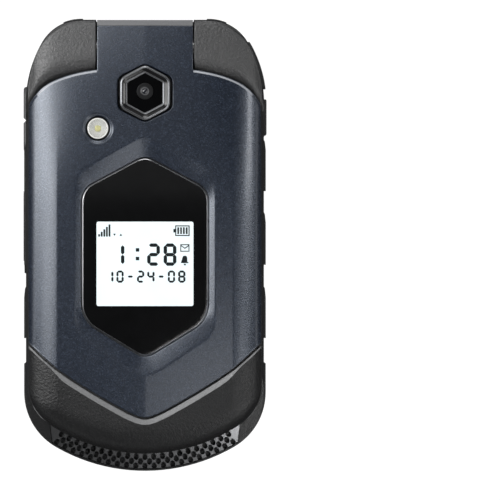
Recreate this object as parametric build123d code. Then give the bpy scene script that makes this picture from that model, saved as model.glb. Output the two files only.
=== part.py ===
from build123d import *
import math
import os

# Rugged folding mobile phone, lying on its back with the lid closed.
# +X: width, +Y: towards the hinge end, +Z: thickness, from the back face up.
# Origin: centre of the footprint, on the plane of the back face. Millimetres.

os.makedirs("parts", exist_ok=True)

# ------------------------------------------------------------------ driving dimensions
HALF_W = 30.5          # half width of the base
TOP_Y = 57.5           # hinge end of the base
BOT_Y = -58.0          # chin end of the base
SEAM_Z = 8.5           # joint between rear and front housing
DECK_UNDER = 15.6      # underside of the keypad deck
DECK_Z = 16.4          # keypad deck
RIM_Z = 17.2           # rim around the keypad deck
LID_Z = 17.7           # inner face of the closed lid
LID_SEAM_Z = 20.4      # joint between the lid's inner housing and outer cover
LID_HALF_W = 29.9
LID_BOT_Y = -53.3
CROWN_Z = 25.45        # highest line of the lid's outer cover
HINGE_Y = 50.0
HINGE_Z = 15.8
BARREL_R = 10.8        # barrel of the lid between the two shoulders
TROUGH_R = 11.2        # hollow in the base that the barrel turns in
TONGUE_X = 12.2        # half width of the barrel
SHOULDER_X = 12.5      # inner faces of the shoulders
SHAFT_R = 2.6
CAM_Y = 38.7
FLASH = (-12.0, 29.7)
KEY_TRAVEL = 0.4
KEY_TOP = 16.95
MEMBRANE_TOP = 14.6
KEY_CLEAR = 0.15

# plan outline: R1, R2 are the two blended corner radii at the hinge end
R1, X1, Y1 = 11.5, 16.3, 46.0
C30 = math.cos(math.radians(30))
R2 = (HALF_W - X1 - R1 * C30) / (1 - C30)
X2 = X1 - (R2 - R1) * C30
Y2 = Y1 - (R2 - R1) * 0.5
RB, RC = 45.7, 16.0            # chin arc and lower corner arc of the base
YB = BOT_Y + RB
LRB, LRC = 43.65, 12.0         # the same for the lid
LYB = LID_BOT_Y + LRB


# ------------------------------------------------------------------ helpers
def pt(cx, cy, r, a):
    return (cx + r * math.cos(math.radians(a)), cy + r * math.sin(math.radians(a)))


def arc(cx, cy, r, a0, a1):
    return ThreePointArc(pt(cx, cy, r, a0), pt(cx, cy, r, (a0 + a1) / 2), pt(cx, cy, r, a1))


def outline(d, half_w=HALF_W, rc=RC, rb=RB, yb=YB, inset=0.0):
    xc = half_w - rc
    yc = yb - math.sqrt((rb - rc) ** 2 - xc ** 2)
    ac = math.degrees(math.atan2(yc - yb, xc))
    r1 = R1 - inset - d
    r2 = (half_w - d) - X2
    r1 = r2 - (R2 - R1)
    e = [arc(0, yb, rb - d, -180 - ac, ac),
         arc(xc, yc, rc - d, ac, 0),
         Line((half_w - d, yc), (X2 + r2, Y2)),
         arc(X2, Y2, r2, 0, 30),
         arc(X1, Y1, r1, 30, 90),
         Line((X1, Y1 + r1), (-X1, Y1 + r1)),
         arc(-X1, Y1, r1, 90, 150),
         arc(-X2, Y2, r2, 150, 180),
         Line((-X2 - r2, Y2), (-(half_w - d), yc)),
         arc(-xc, yc, rc - d, 180, 180 - ac)]
    return Face(Wire(e))


def lid_outline(d):
    return outline(d, LID_HALF_W, LRC, LRB, LYB)


def prism(face, z0, z1):
    return extrude(Pos(0, 0, z0) * face, amount=z1 - z0, dir=(0, 0, 1))


def boxx(x0, x1, y0, y1, z0, z1):
    return Pos((x0 + x1) / 2, (y0 + y1) / 2, (z0 + z1) / 2) * Box(x1 - x0, y1 - y0, z1 - z0)


def cylx(x0, x1, y, z, r):
    return Pos((x0 + x1) / 2, y, z) * Rot(0, 90, 0) * Cylinder(r, x1 - x0)


def cylz(x, y, z0, z1, r):
    return Pos(x, y, (z0 + z1) / 2) * Cylinder(r, z1 - z0)


def cyly(x, z, y0, y1, r):
    return Pos(x, (y0 + y1) / 2, z) * Rot(90, 0, 0) * Cylinder(r, y1 - y0)


def rr(cx, cy, w, h, r, z0, z1):
    return extrude(Pos(cx, cy, z0) * RectangleRounded(w, h, r), amount=z1 - z0)


def poly(pts):
    return make_face(Polyline(*pts, close=True))


def poly_prism(pts, z0, z1):
    return extrude(Pos(0, 0, z0) * poly(pts), amount=z1 - z0, dir=(0, 0, 1))


def on_yz(x):
    return Plane(origin=(x, 0, 0), x_dir=(0, 1, 0), z_dir=(1, 0, 0))


def on_xz(y):
    return Plane(origin=(0, y, 0), x_dir=(1, 0, 0), z_dir=(0, -1, 0))


def yz_prism(face, x0, x1):
    return extrude(on_yz(x0) * face, amount=x1 - x0, dir=(1, 0, 0))


def side_poly(pts, x0, x1):
    return yz_prism(poly(pts), x0, x1)


def both_sides(s):
    return [s, mirror(s, about=Plane.YZ)]


def chamfered_rect(yc, zc, ly, lz, c):
    a, b = ly / 2, lz / 2
    return [(yc - a + c, zc - b), (yc + a - c, zc - b), (yc + a, zc - b + c), (yc + a, zc + b - c),
            (yc + a - c, zc + b), (yc - a + c, zc + b), (yc - a, zc + b - c), (yc - a, zc - b + c)]


def stadium_x(yc, zc, ly, lz, x0, x1):
    f = RectangleRounded(ly, lz, lz / 2 - 0.02)
    return extrude(on_yz(x0) * (Pos(yc, zc) * f), amount=x1 - x0, dir=(1, 0, 0))


PARTS = {}


def keep(name, shape):
    if isinstance(shape, (list, ShapeList)):
        solids = []
        for s in shape:
            solids += list(s.solids())
    else:
        solids = list(shape.solids())
    if len(solids) == 1:
        out = solids[0]
    else:
        out = Compound(children=solids)
    PARTS[name] = out
    export_step(out, "parts/%s.step" % name)


# ------------------------------------------------------------------ crowned closed form
# Cross sections of the closed phone. k = 0 is one smooth curve, k = 1 has a sharp
# fold line at X = 22.4 between the nearly flat middle and the sloping side bands.
def section(y, zc, k):
    dz = zc - 25.4

    def mix(a, b):
        return a + (b - a) * k

    A = (0, zc)
    B = (22.4, mix(24.35, 24.6) + dz)
    am = (11.2, mix(25.12, 25.05) + dz)
    bm = (25.5, mix(23.54, 23.62) + dz * 0.8)
    C = (28.3, mix(21.9, 22.1) + dz * 0.6)
    cm = (30.0, mix(19.85, 19.95) + dz * 0.2)
    D = (30.9, 17.0)

    def m(p):
        return (-p[0], p[1])

    e = [Line((-30.9, 3), (30.9, 3)), Line((30.9, 3), D),
         ThreePointArc(D, cm, C), ThreePointArc(C, bm, B), ThreePointArc(B, am, A),
         ThreePointArc(A, m(am), m(B)), ThreePointArc(m(B), m(bm), m(C)),
         ThreePointArc(m(C), m(cm), m(D)), Line(m(D), (-30.9, 3))]
    return on_xz(y) * Face(Wire(e))


SECTIONS = [(59, 24.0, 0), (44.5, 25.1, 0), (30, 25.4, 0.15), (16, 25.48, 0.9),
            (6, 25.5, 1), (-20, 25.45, 1), (-40, 25.1, 1), (-60, 24.2, 1)]
crown_form = loft([section(*s) for s in SECTIONS])

# the lower end of the lid turns down in a curve about a vertical axis
tail_rz = [(41.2, LID_Z), (LRB, 19.2), (43.25, 21.0), (41.95, 22.7), (39.2, 24.1), (35.0, 25.1), (30.0, 25.75)]
tail_wire = [Line((0, LID_Z - 0.0), tail_rz[0]), Line(tail_rz[0], tail_rz[1]),
             Spline(*tail_rz[1:]), Line(tail_rz[-1], (28.0, 26.6)), Line((28.0, 26.6), (0, 26.6)),
             Line((0, 26.6), (0, LID_Z))]
tail_face = Plane.XZ * Face(Wire(tail_wire))
tail_tool = Pos(0, LYB, 0) * revolve(tail_face, Axis.Z, 360)
tail_tool = tail_tool + boxx(-40, 40, -16, 60, LID_Z, 30)

# chin end of the base: a rounded back edge and a sloping chin
CHIN = [(45.75, 12.8), (35.2, 17.0)]
end_wire = [Line((0, -1), (32, -1)), Line((32, -1), (33.5, 0.0)),
            Spline((33.5, 0.0), (37.5, 0.33), (39.5, 0.8), (41.2, 1.65), (42.9, 3.2), (44.7, 5.8), (45.62, 9.2), CHIN[0]),
            Line(CHIN[0], CHIN[1]), Line(CHIN[1], (34.0, 17.35)), Line((34.0, 17.35), (33.0, 19)),
            Line((33.0, 19), (0, 19)), Line((0, 19), (0, -1))]
end_tool = Pos(0, YB, 0) * revolve(Plane.XZ * Face(Wire(end_wire)), Axis.Z, 360)
end_tool = end_tool + boxx(-40, 40, -26, 60, -1, 19)

# ------------------------------------------------------------------ base outer form
low = extrude(outline(0), amount=RIM_Z, dir=(0, 0, 1))
low = fillet(low.edges().group_by(Axis.Z)[0], 3.5)
low = fillet(low.edges().group_by(Axis.Z)[-1], 2.4)
low = low & end_tool

# shoulders on both sides of the barrel, seen from the side: rim, rising curve, nearly flat top
SH_CURVE = [(48.4, 25.25), (46.5, 24.9), (44.1, 24.25), (41.0, 23.0), (38.5, 21.75), (36.2, 20.2), (34.2, 17.95), (31.0, 15.6)]


def offset_curve(pts, d):
    out = []
    for i, p in enumerate(pts):
        a = pts[max(i - 1, 0)]
        b = pts[min(i + 1, len(pts) - 1)]
        t = (b[0] - a[0], b[1] - a[1])
        n = math.hypot(*t)
        # normal pointing away from the shoulder
        nx, nz = t[1] / n, -t[0] / n
        out.append((p[0] + nx * d, p[1] + nz * d))
    return out


def shoulder_region(pts, top_z):
    w = [Spline(*pts), Line(pts[-1], (pts[-1][0], 4.0)), Line((pts[-1][0], 4.0), (58.5, 4.0)),
         Line((58.5, 4.0), (58.5, top_z)), Line((58.5, top_z), (pts[0][0], top_z)),
         Line((pts[0][0], top_z), pts[0])]
    return Face(Wire(w))


sh_wire = [Spline(*SH_CURVE), Line(SH_CURVE[-1], (31.0, 8.0)), Line((31.0, 8.0), (TOP_Y + 0.5, 8.0)),
           Line((TOP_Y + 0.5, 8.0), (TOP_Y + 0.5, 23.2)), ThreePointArc((TOP_Y + 0.5, 23.2), (57.2, 23.95), (56.4, 24.3)),
           Line((56.4, 24.3), SH_CURVE[0])]
sh = yz_prism(Face(Wire(sh_wire)), -32, 32)
sh = sh & crown_form & prism(outline(0), 8.0, 26)
# rounded edge between the upright walls and the crown
pillow = prism(outline(0), 8.0, 25.3)
pillow = fillet(pillow.edges().group_by(Axis.Z)[-1], 4.0)
sh = sh & pillow


# the crown of each shoulder rolls down towards the lid's curved edge
def arc_z(x, p, q, r):
    (ax, az), (bx, bz), (cx, cz) = p, q, r
    d = 2 * (ax * (bz - cz) + bx * (cz - az) + cx * (az - bz))
    ux = ((ax * ax + az * az) * (bz - cz) + (bx * bx + bz * bz) * (cz - az) + (cx * cx + cz * cz) * (az - bz)) / d
    uz = ((ax * ax + az * az) * (cx - bx) + (bx * bx + bz * bz) * (ax - cx) + (cx * cx + cz * cz) * (bx - ax)) / d
    return uz + math.sqrt((ax - ux) ** 2 + (az - uz) ** 2 - (x - ux) ** 2)


def crown_z(x, y):
    zc = 25.1 - 0.0435 * (y - 44.5) - 0.0022 * (y - 44.5) ** 2
    dz = zc - 25.4
    B, C = (22.4, 24.35 + dz), (28.3, 21.9 + dz * 0.6)
    if x < 22.4:
        return arc_z(x, (0, zc), (11.2, 25.12 + dz), B)
    if x < 28.3:
        return arc_z(x, B, (25.5, 23.54 + dz * 0.8), C)
    return arc_z(min(x, 30.8), C, (30.0, 19.85 + dz * 0.2), (30.9, 17.0))


def roll_section(x, y0, k, reach):
    def at(y, d):
        return (y, crown_z(x, y) - d * k)

    pts = [at(y0 - 6.5, 3.65), at(y0 - 3.4, 3.4), at(y0 - 1.0, 2.75), at(y0 + reach * 0.08, 1.5), at(y0 + reach * 0.42, 0.42),
           at(y0 + reach, -0.02), at(y0 + reach * 1.3, -0.14)]
    w = [Spline(*pts), Line(pts[-1], (pts[-1][0], 30)), Line((pts[-1][0], 30), (pts[0][0], 30)), Line((pts[0][0], 30), pts[0])]
    return Plane.YZ.offset(x) * Face(Wire(w))


ROLL = [(11.0, 44.9, 1.0, 5.6), (16.0, 44.0, 1.0, 5.6), (20.4, 43.2, 1.0, 5.5), (24.0, 42.1, 0.95, 5.2),
        (27.0, 39.7, 0.85, 4.8), (29.4, 36.5, 0.7, 4.2), (31.2, 33.4, 0.6, 4.0)]
roll = loft([roll_section(*r) for r in ROLL])
sh = sh - roll - mirror(roll, Plane.YZ)
base_form = low + (sh - boxx(-SHOULDER_X, SHOULDER_X, 20, 60, 5, 30))

# raised grip pads on both sides, with a ramp at the upper edge of each
pad_form = extrude(outline(0, 31.0, 16.3), amount=RIM_Z, dir=(0, 0, 1))
pad_form = fillet(pad_form.edges().group_by(Axis.Z)[0], 4.0)
pad_form = pad_form & boxx(-40, 40, -70, 70, 1.6, RIM_Z)      # a small step all round, clear of the flat back
slope = -3.0 / 14.3


def pad(y_top, y_bot, z_top, ramp=1.2, z0=0.0, y_ref=0.0):
    f = poly([(27.0, y_bot), (31.2, y_bot + 0.0), (31.2, y_top - ramp), (30.4, y_top), (27.0, y_top)])
    h = z_top - z0
    d = Vector(0, slope, 1)
    return extrude(Pos(0, slope * z0, z0) * f, amount=h * d.length, dir=d.normalized())


pads_right = [pad(28.3, 16.8, 14.2), pad(9.6, -2.1, 14.2), pad(-9.6, -20.9, 14.2)]
lower_pad = (extrude(Pos(0, 0, 4.6) * poly([(10, -60), (32, -60), (32, -31.2), (30.4, -30.0), (10, -30.0)]),
                     amount=8.9, dir=(0, 0, 1)))
pad_solid = Part() + [(p & pad_form) for p in pads_right]
pad_solid = pad_solid + (lower_pad & pad_form & end_tool)
base_form = base_form + pad_solid + mirror(pad_solid, about=Plane.YZ)

# raised collar around the side button on the left
PTT_Y, PTT_Z = 4.85, 9.0
collar = side_poly(chamfered_rect(PTT_Y, PTT_Z, 24.2, 9.2, 2.9), -30.95, -28.9)
base_form = base_form + collar

# barrel trough
trough = cylx(-SHOULDER_X, SHOULDER_X, HINGE_Y, HINGE_Z, TROUGH_R)
base_form = base_form - trough - boxx(-SHOULDER_X, SHOULDER_X, 39.6, 60, HINGE_Z, 30)

# ------------------------------------------------------------------ base cavities
cav_a = prism(outline(1.8), 2.6, DECK_UNDER) & boxx(-40, 40, -41, 36.5, 0, 30)
cav_b = prism(outline(2.6), 4.6, 12.0) & boxx(-40, 40, -60, -40.9, 0, 30)
trough_wall = cylx(-SHOULDER_X - 1.2, SHOULDER_X + 1.2, HINGE_Y, HINGE_Z, TROUGH_R + 1.2)
cavity = (cav_a + cav_b) - trough_wall
# pockets in the shoulders for the hinge, the cable and the headset socket
HPIN_X = (4.0, 21.5)
mod_bore = cylx(-23.4, -SHOULDER_X, HINGE_Y, HINGE_Z, 4.1)
pin_bore = cylx(SHOULDER_X, 21.8, HINGE_Y, HINGE_Z, SHAFT_R + 0.05)
cable_pocket = boxx(21.8, 24.4, 46.5, 52.2, 12.9, 18.0) & prism(outline(1.4), 0, 30)
jack_pocket = boxx(13.9, 27.9, 42.7, 49.3, 7.4, 12.6) & prism(outline(1.2), 0, 30)
jack_to_cav = boxx(15.5, 20.5, 36.0, 43.0, 8.6, 11.0)

deck_recess = rr(0, -2.8, 53.6, 80.8, 3.0, DECK_Z, 30) & prism(outline(3.0), 10, 30)

# side openings
VOL_Y, VOL_Z = 32.3, 8.8
vol_cut = stadium_x(VOL_Y + 0.25, VOL_Z, 18.9, 6.3, -32, -29.45) + stadium_x(VOL_Y, VOL_Z, 17.3, 5.3, -32, -26.2)
vol_room = boxx(-28.7, -25.3, VOL_Y - 9.2, VOL_Y + 9.2, VOL_Z - 3.2, VOL_Z + 3.2) & prism(outline(1.8), 0, 20)
ptt_cut = side_poly(chamfered_rect(PTT_Y, PTT_Z, 20.8, 7.4, 2.1), -32, -29.5) + side_poly(
    chamfered_rect(PTT_Y, PTT_Z, 18.2, 4.9, 1.4), -32, -28)
USB_Y, USB_Z = 32.4, 11.3
usb_cut = boxx(29.7, 32, USB_Y - 5.4, USB_Y + 5.15, USB_Z - 3.15, USB_Z + 3.15) + boxx(
    26, 32, USB_Y - 4.1, USB_Y + 4.1, USB_Z - 1.6, USB_Z + 1.6)
JACK_Y, JACK_Z = 46.0, 10.0
jack_band = prism(outline(-1.5), 5, 15) - prism(outline(0.9), 5, 15)
jack_cut = (jack_band & boxx(20, 33, 38.7, 52.9, JACK_Z - 3.65, JACK_Z + 3.65)) + cylx(24, 32, JACK_Y, JACK_Z, 1.85)

# key openings: name: (x, y, width, height, corner radius)
KEYS = {
    "soft_key_left": (-19.9, 25.6, 12.4, 8.4, 2.2),
    "soft_key_right": (19.9, 25.6, 12.4, 8.4, 2.2),
    "send_key": (-18.0, 1.6, 16.2, 6.6, 2.0),
    "clear_key": (0.0, 1.6, 16.2, 6.6, 2.0),
    "end_key": (18.0, 1.6, 16.2, 6.6, 2.0),
}
names = ["key_1", "key_2", "key_3", "key_4", "key_5", "key_6", "key_7", "key_8", "key_9", "key_star", "key_0", "key_hash"]
for i, n in enumerate(names):
    KEYS[n] = (-18.0 + 18.0 * (i % 3), -8.2 - 9.2 * (i // 3), 16.2, 7.6, 2.4)
NAV = (0.0, 20.2, 25.0, 23.0, 8.0)
OK_KEY = (0.0, 20.2, 10.6, 9.6, 3.4)

key_cuts = [rr(x, y, w + 2 * KEY_CLEAR, h + 2 * KEY_CLEAR, r + KEY_CLEAR, 15.0, 17.5) for x, y, w, h, r in KEYS.values()]
key_cuts.append(rr(NAV[0], NAV[1], NAV[2] + 0.6, NAV[3] + 0.6, NAV[4] + 0.3, 15.0, 17.5))

# battery bay and its cover's recess
BAY = (20.4, -36.4, 20.4)
bay_wall = boxx(-BAY[0] - 0.8, BAY[0] + 0.8, BAY[1] - 1.2, BAY[2] + 1.2, 1.0, SEAM_Z)
bay_room = boxx(-BAY[0], BAY[0], BAY[1], BAY[2], -2, 7.9)
COVER = (24.0, -44.0, 26.0)


def cover_outline(d):
    w, y0, y1 = COVER[0] - d, COVER[1] + d, COVER[2] - d
    f = poly([(-w, y0 + 5), (-w + 5, y0), (w - 5, y0), (w, y0 + 5), (w, y1 - 6), (w - 6, y1), (-w + 6, y1), (-w, y1 - 6)])
    return fillet(f.vertices(), 2.0 - d * 0.5)


cover_recess = prism(cover_outline(0.0), -1, 1.8)
CARD = (0.0, -22.0, 15.4, 13.4)
card_hole = boxx(CARD[0] - CARD[2] / 2, CARD[0] + CARD[2] / 2, CARD[1] - CARD[3] / 2, CARD[1] + CARD[3] / 2, 7.0, 9.0)
SCREWS = [(sx * x, y) for x, y in ((22.4, 23.4), (22.7, -8.0), (22.4, -39.6)) for sx in (-1, 1)]
LOCK = (0.0, -40.2)

seal_ring = prism(outline(0.75), 8.25, 8.75) - prism(outline(1.25), 8.0, 9.0)

# ------------------------------------------------------------------ speaker grille on the chin
ch_n = math.hypot(CHIN[0][0] - CHIN[1][0], CHIN[0][1] - CHIN[1][1])
ch_t = ((CHIN[0][0] - CHIN[1][0]) / ch_n, (CHIN[0][1] - CHIN[1][1]) / ch_n)      # outwards and down
ch_u = (-ch_t[1], ch_t[0])                                                       # out of the surface


def chin_pt(r, off):
    s = (r - CHIN[1][0]) / ch_t[0]
    return (CHIN[1][0] + ch_t[0] * s + ch_u[0] * off, CHIN[1][1] + ch_t[1] * s + ch_u[1] * off)


def chin_band(r0, r1, o0, o1, half_x):
    f = Face(Wire([Line(chin_pt(r0, o0), chin_pt(r1, o0)), Line(chin_pt(r1, o0), chin_pt(r1, o1)),
                   Line(chin_pt(r1, o1), chin_pt(r0, o1)), Line(chin_pt(r0, o1), chin_pt(r0, o0))]))
    b = Pos(0, YB, 0) * revolve(Plane.XZ * f, Axis.Z, 360)
    return b & poly_prism([(-half_x, -42), (-half_x, -47), (-half_x + 1.6, -60), (half_x - 1.6, -60), (half_x, -47), (half_x, -42)], 5, 25)


grille_pocket = chin_band(41.2, 45.25, -1.15, 1.5, 24.35)
grille = chin_band(41.3, 45.1, -1.15, -0.2, 24.2)
holes = []
GRILLE_PITCH = 2.32
tilt = math.degrees(math.atan2(-ch_t[1], ch_t[0]))
for row, r in enumerate((42.25, 43.45, 44.62)):
    step = math.degrees(GRILLE_PITCH / 43.45)
    n = 11
    for i in range(-n, n + 1):
        a = (i + (0.5 if row % 2 else 0.0)) * step
        x, y = r * math.sin(math.radians(a)), YB - r * math.cos(math.radians(a))
        if abs(x) > 23.3 - 0.25 * row:
            continue
        p = chin_pt(r, -0.7)
        h = Pos(x, y, p[1]) * Rot(0, 0, a) * Rot(-tilt, 0, 0) * Cylinder(0.67, 4.0)
        holes.append(h)
grille = grille - holes
sound_slots = [boxx(sx * 10.5 - 5.5, sx * 10.5 + 5.5, -53.4, -52.2, 11.5, 14.5) for sx in (-1, 1)]

# ------------------------------------------------------------------ rear and front housings
screw_cut_rear = [cylz(x, y, 1.0, 2.7, 1.5) + cylz(x, y, 2.0, 9.0, 0.95) for x, y in SCREWS]
boss_rear = [cylz(x, y, 1.0, SEAM_Z, 2.4) for x, y in SCREWS]
boss_front = [cylz(x, y, SEAM_Z, 13.6, 2.4) + boxx(min(x, math.copysign(29.0, x)), max(x, math.copysign(29.0, x)), y - 1.5, y + 1.5, SEAM_Z, 13.6)
              for x, y in SCREWS]
screw_cut_front = [cylz(x, y, 8.0, 12.6, 0.82) for x, y in SCREWS]

common_cuts = [vol_cut, vol_room, ptt_cut, usb_cut, jack_cut, jack_pocket, jack_to_cav, seal_ring]
rear = base_form & boxx(-40, 40, -70, 70, -1, SEAM_Z)
rear = rear - cavity
rear = rear + [bay_wall] + boss_rear
rear = rear - bay_room - cover_recess - card_hole
rear = rear - common_cuts - screw_cut_rear
rear = rear - cylz(LOCK[0], LOCK[1], 0.5, 4.4, 2.3)
rear = rear & base_form
keep("rear_housing", rear)

front = base_form & boxx(-40, 40, -70, 70, SEAM_Z, 30)
front = front - cavity
front = front + [(b & prism(outline(0.5), 0, 20)) for b in boss_front]
front = front - deck_recess - key_cuts - grille_pocket - sound_slots
front = front - common_cuts - screw_cut_front
front = front - [mod_bore, pin_bore, cable_pocket]
keep("front_housing", front)

seal = seal_ring - [boxx(-32, -26, VOL_Y - 10, VOL_Y + 10, 8, 9), boxx(-32, -26, PTT_Y - 10.6, PTT_Y + 10.6, 8, 9),
                    boxx(26, 32, USB_Y - 5.6, USB_Y + 5.4, 8, 9), boxx(20, 33, 38.5, 53.2, 8, 9),
                    boxx(24, 32, 42, 50, 8, 9), cylx(-13.9, 13.9, HINGE_Y, HINGE_Z, TROUGH_R + 0.4)]
keep("housing_seal", seal)
keep("speaker_grille", grille)

# ------------------------------------------------------------------ battery and its cover
cover = prism(cover_outline(0.15), 0.3, 1.7)
cover = fillet(cover.edges().group_by(Axis.Z)[0], 0.5)
cover = cover - cylz(LOCK[0], LOCK[1], 0.0, 1.1, 3.15) - cylz(LOCK[0], LOCK[1], 0.5, 2.0, 1.5)
cover = cover - [boxx(-14, 14, y - 0.4, y + 0.4, 0.0, 0.55) for y in (6.0, 8.5, 11.0, 13.5, 16.0)]
keep("battery_cover", cover)
lock = cylz(LOCK[0], LOCK[1], 0.4, 1.05, 3.05) + cylz(LOCK[0], LOCK[1], 1.0, 2.6, 1.4) + boxx(
    LOCK[0] - 2.1, LOCK[0] + 2.1, LOCK[1] - 0.6, LOCK[1] + 0.6, 2.1, 2.6)
lock = lock - boxx(LOCK[0] - 2.2, LOCK[0] + 2.2, LOCK[1] - 0.4, LOCK[1] + 0.4, 0.2, 0.8)
keep("cover_lock", lock)
battery = rr(0, -8.0, 40.2, 56.0, 2.0, 2.2, 7.7)
battery = fillet(battery.edges().group_by(Axis.Z)[0] + battery.edges().group_by(Axis.Z)[-1], 0.8)
keep("battery", battery)

# ------------------------------------------------------------------ electronics in the base
board = boxx(-25.5, 25.5, -40.4, 36.0, 9.2, 10.0)
board = board - [boxx(min(math.copysign(19.4, x), math.copysign(30, x)), max(math.copysign(19.4, x), math.copysign(30, x)), y - 2.8, y + 2.8, 9, 10.5)
                 for x, y in SCREWS]
cans = [rr(-9.6, 21.0, 16.0, 20.0, 1.0, 10.0, 11.8), rr(9.6, 21.0, 16.0, 20.0, 1.0, 10.0, 11.8), rr(0, -18.0, 34.0, 26.0, 1.0, 10.0, 11.8)]
keep("main_board", [board] + [fillet(c.edges().group_by(Axis.Z)[-1], 0.3) for c in cans])
card = boxx(CARD[0] - 7.5, CARD[0] + 7.5, CARD[1] - 6.5, CARD[1] + 6.5, 7.85, 9.15) - boxx(
    CARD[0] - 6.3, CARD[0] + 6.3, CARD[1] - 7.0, CARD[1] + 5.6, 8.1, 8.9)
keep("card_holder", card)
motor = cylz(16.0, -46.0, 4.65, 7.45, 5.0) + boxx(14.5, 17.5, -41.6, -40.9, 4.7, 6.2)
keep("vibration_motor", motor)
spk = [rr(sx * 10.5, -49.4, 15.0, 8.6, 1.6, 8.9, 11.7) for sx in (-1, 1)]
spk = [(s & prism(outline(2.9), 0, 30)) - rr(sx * 10.5, -49.4, 11.5, 5.6, 1.2, 11.2, 12.5) for s, sx in zip(spk, (-1, 1))]
spk = [s + rr(sx * 10.5, -49.4, 9.0, 3.6, 1.2, 11.0, 11.5) for s, sx in zip(spk, (-1, 1))]
keep("loudspeakers", spk)
usb = boxx(21.6, 28.2, USB_Y - 3.8, USB_Y + 3.8, 10.0, 12.6) - boxx(24.0, 29, USB_Y - 3.4, USB_Y + 3.4, 10.35, 12.25)
usb = usb + boxx(24.0, 27.6, USB_Y - 2.6, USB_Y + 2.6, 11.2, 11.6)
keep("usb_connector", usb)
jack = boxx(14.1, 26.1, 43.0, 49.0, 7.6, 12.4) - cylx(16.0, 28, JACK_Y, JACK_Z, 1.8)
jack = jack + [boxx(x, x + 0.8, 42.8, 43.1, 8.7, 9.4) for x in (16.0, 19.0, 22.0)]
keep("headset_jack", jack)
sw = []
for y in (VOL_Y - 5.0, VOL_Y + 4.0, PTT_Y):
    sw.append(boxx(-27.0, -25.55, y - 1.6, y + 1.6, 7.4, 10.4) + cylx(-27.25, -26.9, y, 8.9, 0.8))
keep("side_switches", sw)
mem = prism(outline(4.2), 13.65, 14.2) & boxx(-40, 40, -40.6, 34.5, 0, 30)
domes = [rr(x, y, min(w, 7.0), min(h, 5.0), 1.5, 14.1, MEMBRANE_TOP) for x, y, w, h, r in KEYS.values()]
domes += [rr(NAV[0] + dx, NAV[1] + dy, 3.0, 3.0, 1.2, 14.1, MEMBRANE_TOP) for dx, dy in ((10.3, 0), (-10.3, 0), (0, 9.4), (0, -9.4))]
domes.append(rr(OK_KEY[0], OK_KEY[1], 5.0, 5.0, 2.0, 14.1, MEMBRANE_TOP))
keep("keypad_membrane", mem + domes)
keep("housing_screws", [cylz(x, y, 1.82, 2.62, 1.4) + cylz(x, y, 2.6, 12.3, 0.8) - boxx(x - 0.9, x + 0.9, y - 0.2, y + 0.2, 1.5, 2.15)
                        - boxx(x - 0.2, x + 0.2, y - 0.9, y + 0.9, 1.5, 2.15) for x, y in SCREWS])

# ------------------------------------------------------------------ side buttons and covers
ring = side_poly(chamfered_rect(PTT_Y, PTT_Z, 20.7, 7.3, 2.05), -30.92, -29.5) - side_poly(
    chamfered_rect(PTT_Y, PTT_Z, 18.2, 4.9, 1.4), -32, -29)
ring = chamfer(ring.edges().group_by(Axis.X)[0], 0.35)
keep("ptt_ring", ring)
btn = side_poly(chamfered_rect(PTT_Y, PTT_Z, 17.9, 4.6, 1.35), -31.2, -28.3) + boxx(
    -28.5, -27.8, PTT_Y - 9.6, PTT_Y + 9.6, PTT_Z - 3.0, PTT_Z + 3.0)
btn = btn - side_poly(chamfered_rect(PTT_Y, PTT_Z, 16.5, 3.2, 1.0), -32, -31.0)
for dy in (-5.2, 0.0, 5.2):
    f = Ellipse(1.75, 1.15)
    btn = btn + extrude(on_yz(-31.15) * (Pos(PTT_Y + dy, PTT_Z) * f), amount=0.4, dir=(1, 0, 0))
keep("ptt_button", btn)

rock = stadium_x(VOL_Y, VOL_Z, 16.8, 4.9, -31.2, -28.3)
rock = fillet(rock.edges().group_by(Axis.X)[0], 0.7)
rock = rock - (Pos(-31.45, VOL_Y - 0.3, VOL_Z) * Rot(0, 0, 45) * Box(1.3, 1.3, 8))
for yy, s in ((VOL_Y + 4.3, 1), (VOL_Y - 4.6, -1)):
    tri = poly([(yy - 0.9 * s, VOL_Z - 1.2), (yy - 0.9 * s, VOL_Z + 1.2), (yy + 1.0 * s, VOL_Z)])
    rock = rock - extrude(on_yz(-31.3) * tri, amount=0.3, dir=(1, 0, 0))
rock = rock + boxx(-28.5, -28.05, VOL_Y - 1.5, VOL_Y + 1.5, VOL_Z - 3.0, VOL_Z + 3.0) + cylz(-28.05, VOL_Y, VOL_Z - 3.0, VOL_Z + 3.0, 0.45)
keep("volume_rocker", rock)

USB_AX = (30.25, USB_Y - 4.25)
usbc = boxx(29.85, 31.2, USB_Y - 4.25, USB_Y + 5.0, USB_Z - 3.0, USB_Z + 3.0)
usbc = fillet(usbc.edges().filter_by(Axis.X), 1.0)
usbc = fillet(usbc.edges().group_by(Axis.X)[-1], 0.35)
usbc = usbc + boxx(29.85, 31.0, USB_Y - 4.25, USB_Y - 2.8, USB_Z - 2.4, USB_Z + 2.4)
usbc = usbc + cylz(USB_AX[0], USB_AX[1], USB_Z - 2.4, USB_Z + 2.4, 0.45)
usbc = usbc + boxx(29.0, 30.2, USB_Y - 2.6, USB_Y + 3.4, USB_Z - 1.0, USB_Z + 1.0)
usbc = usbc - [boxx(31.0, 31.4, USB_Y + y - 0.2, USB_Y + y + 0.2, USB_Z - 1.8, USB_Z + 1.8) for y in (2.2, 3.0, 3.8)]
keep("usb_cover", usbc)

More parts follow.
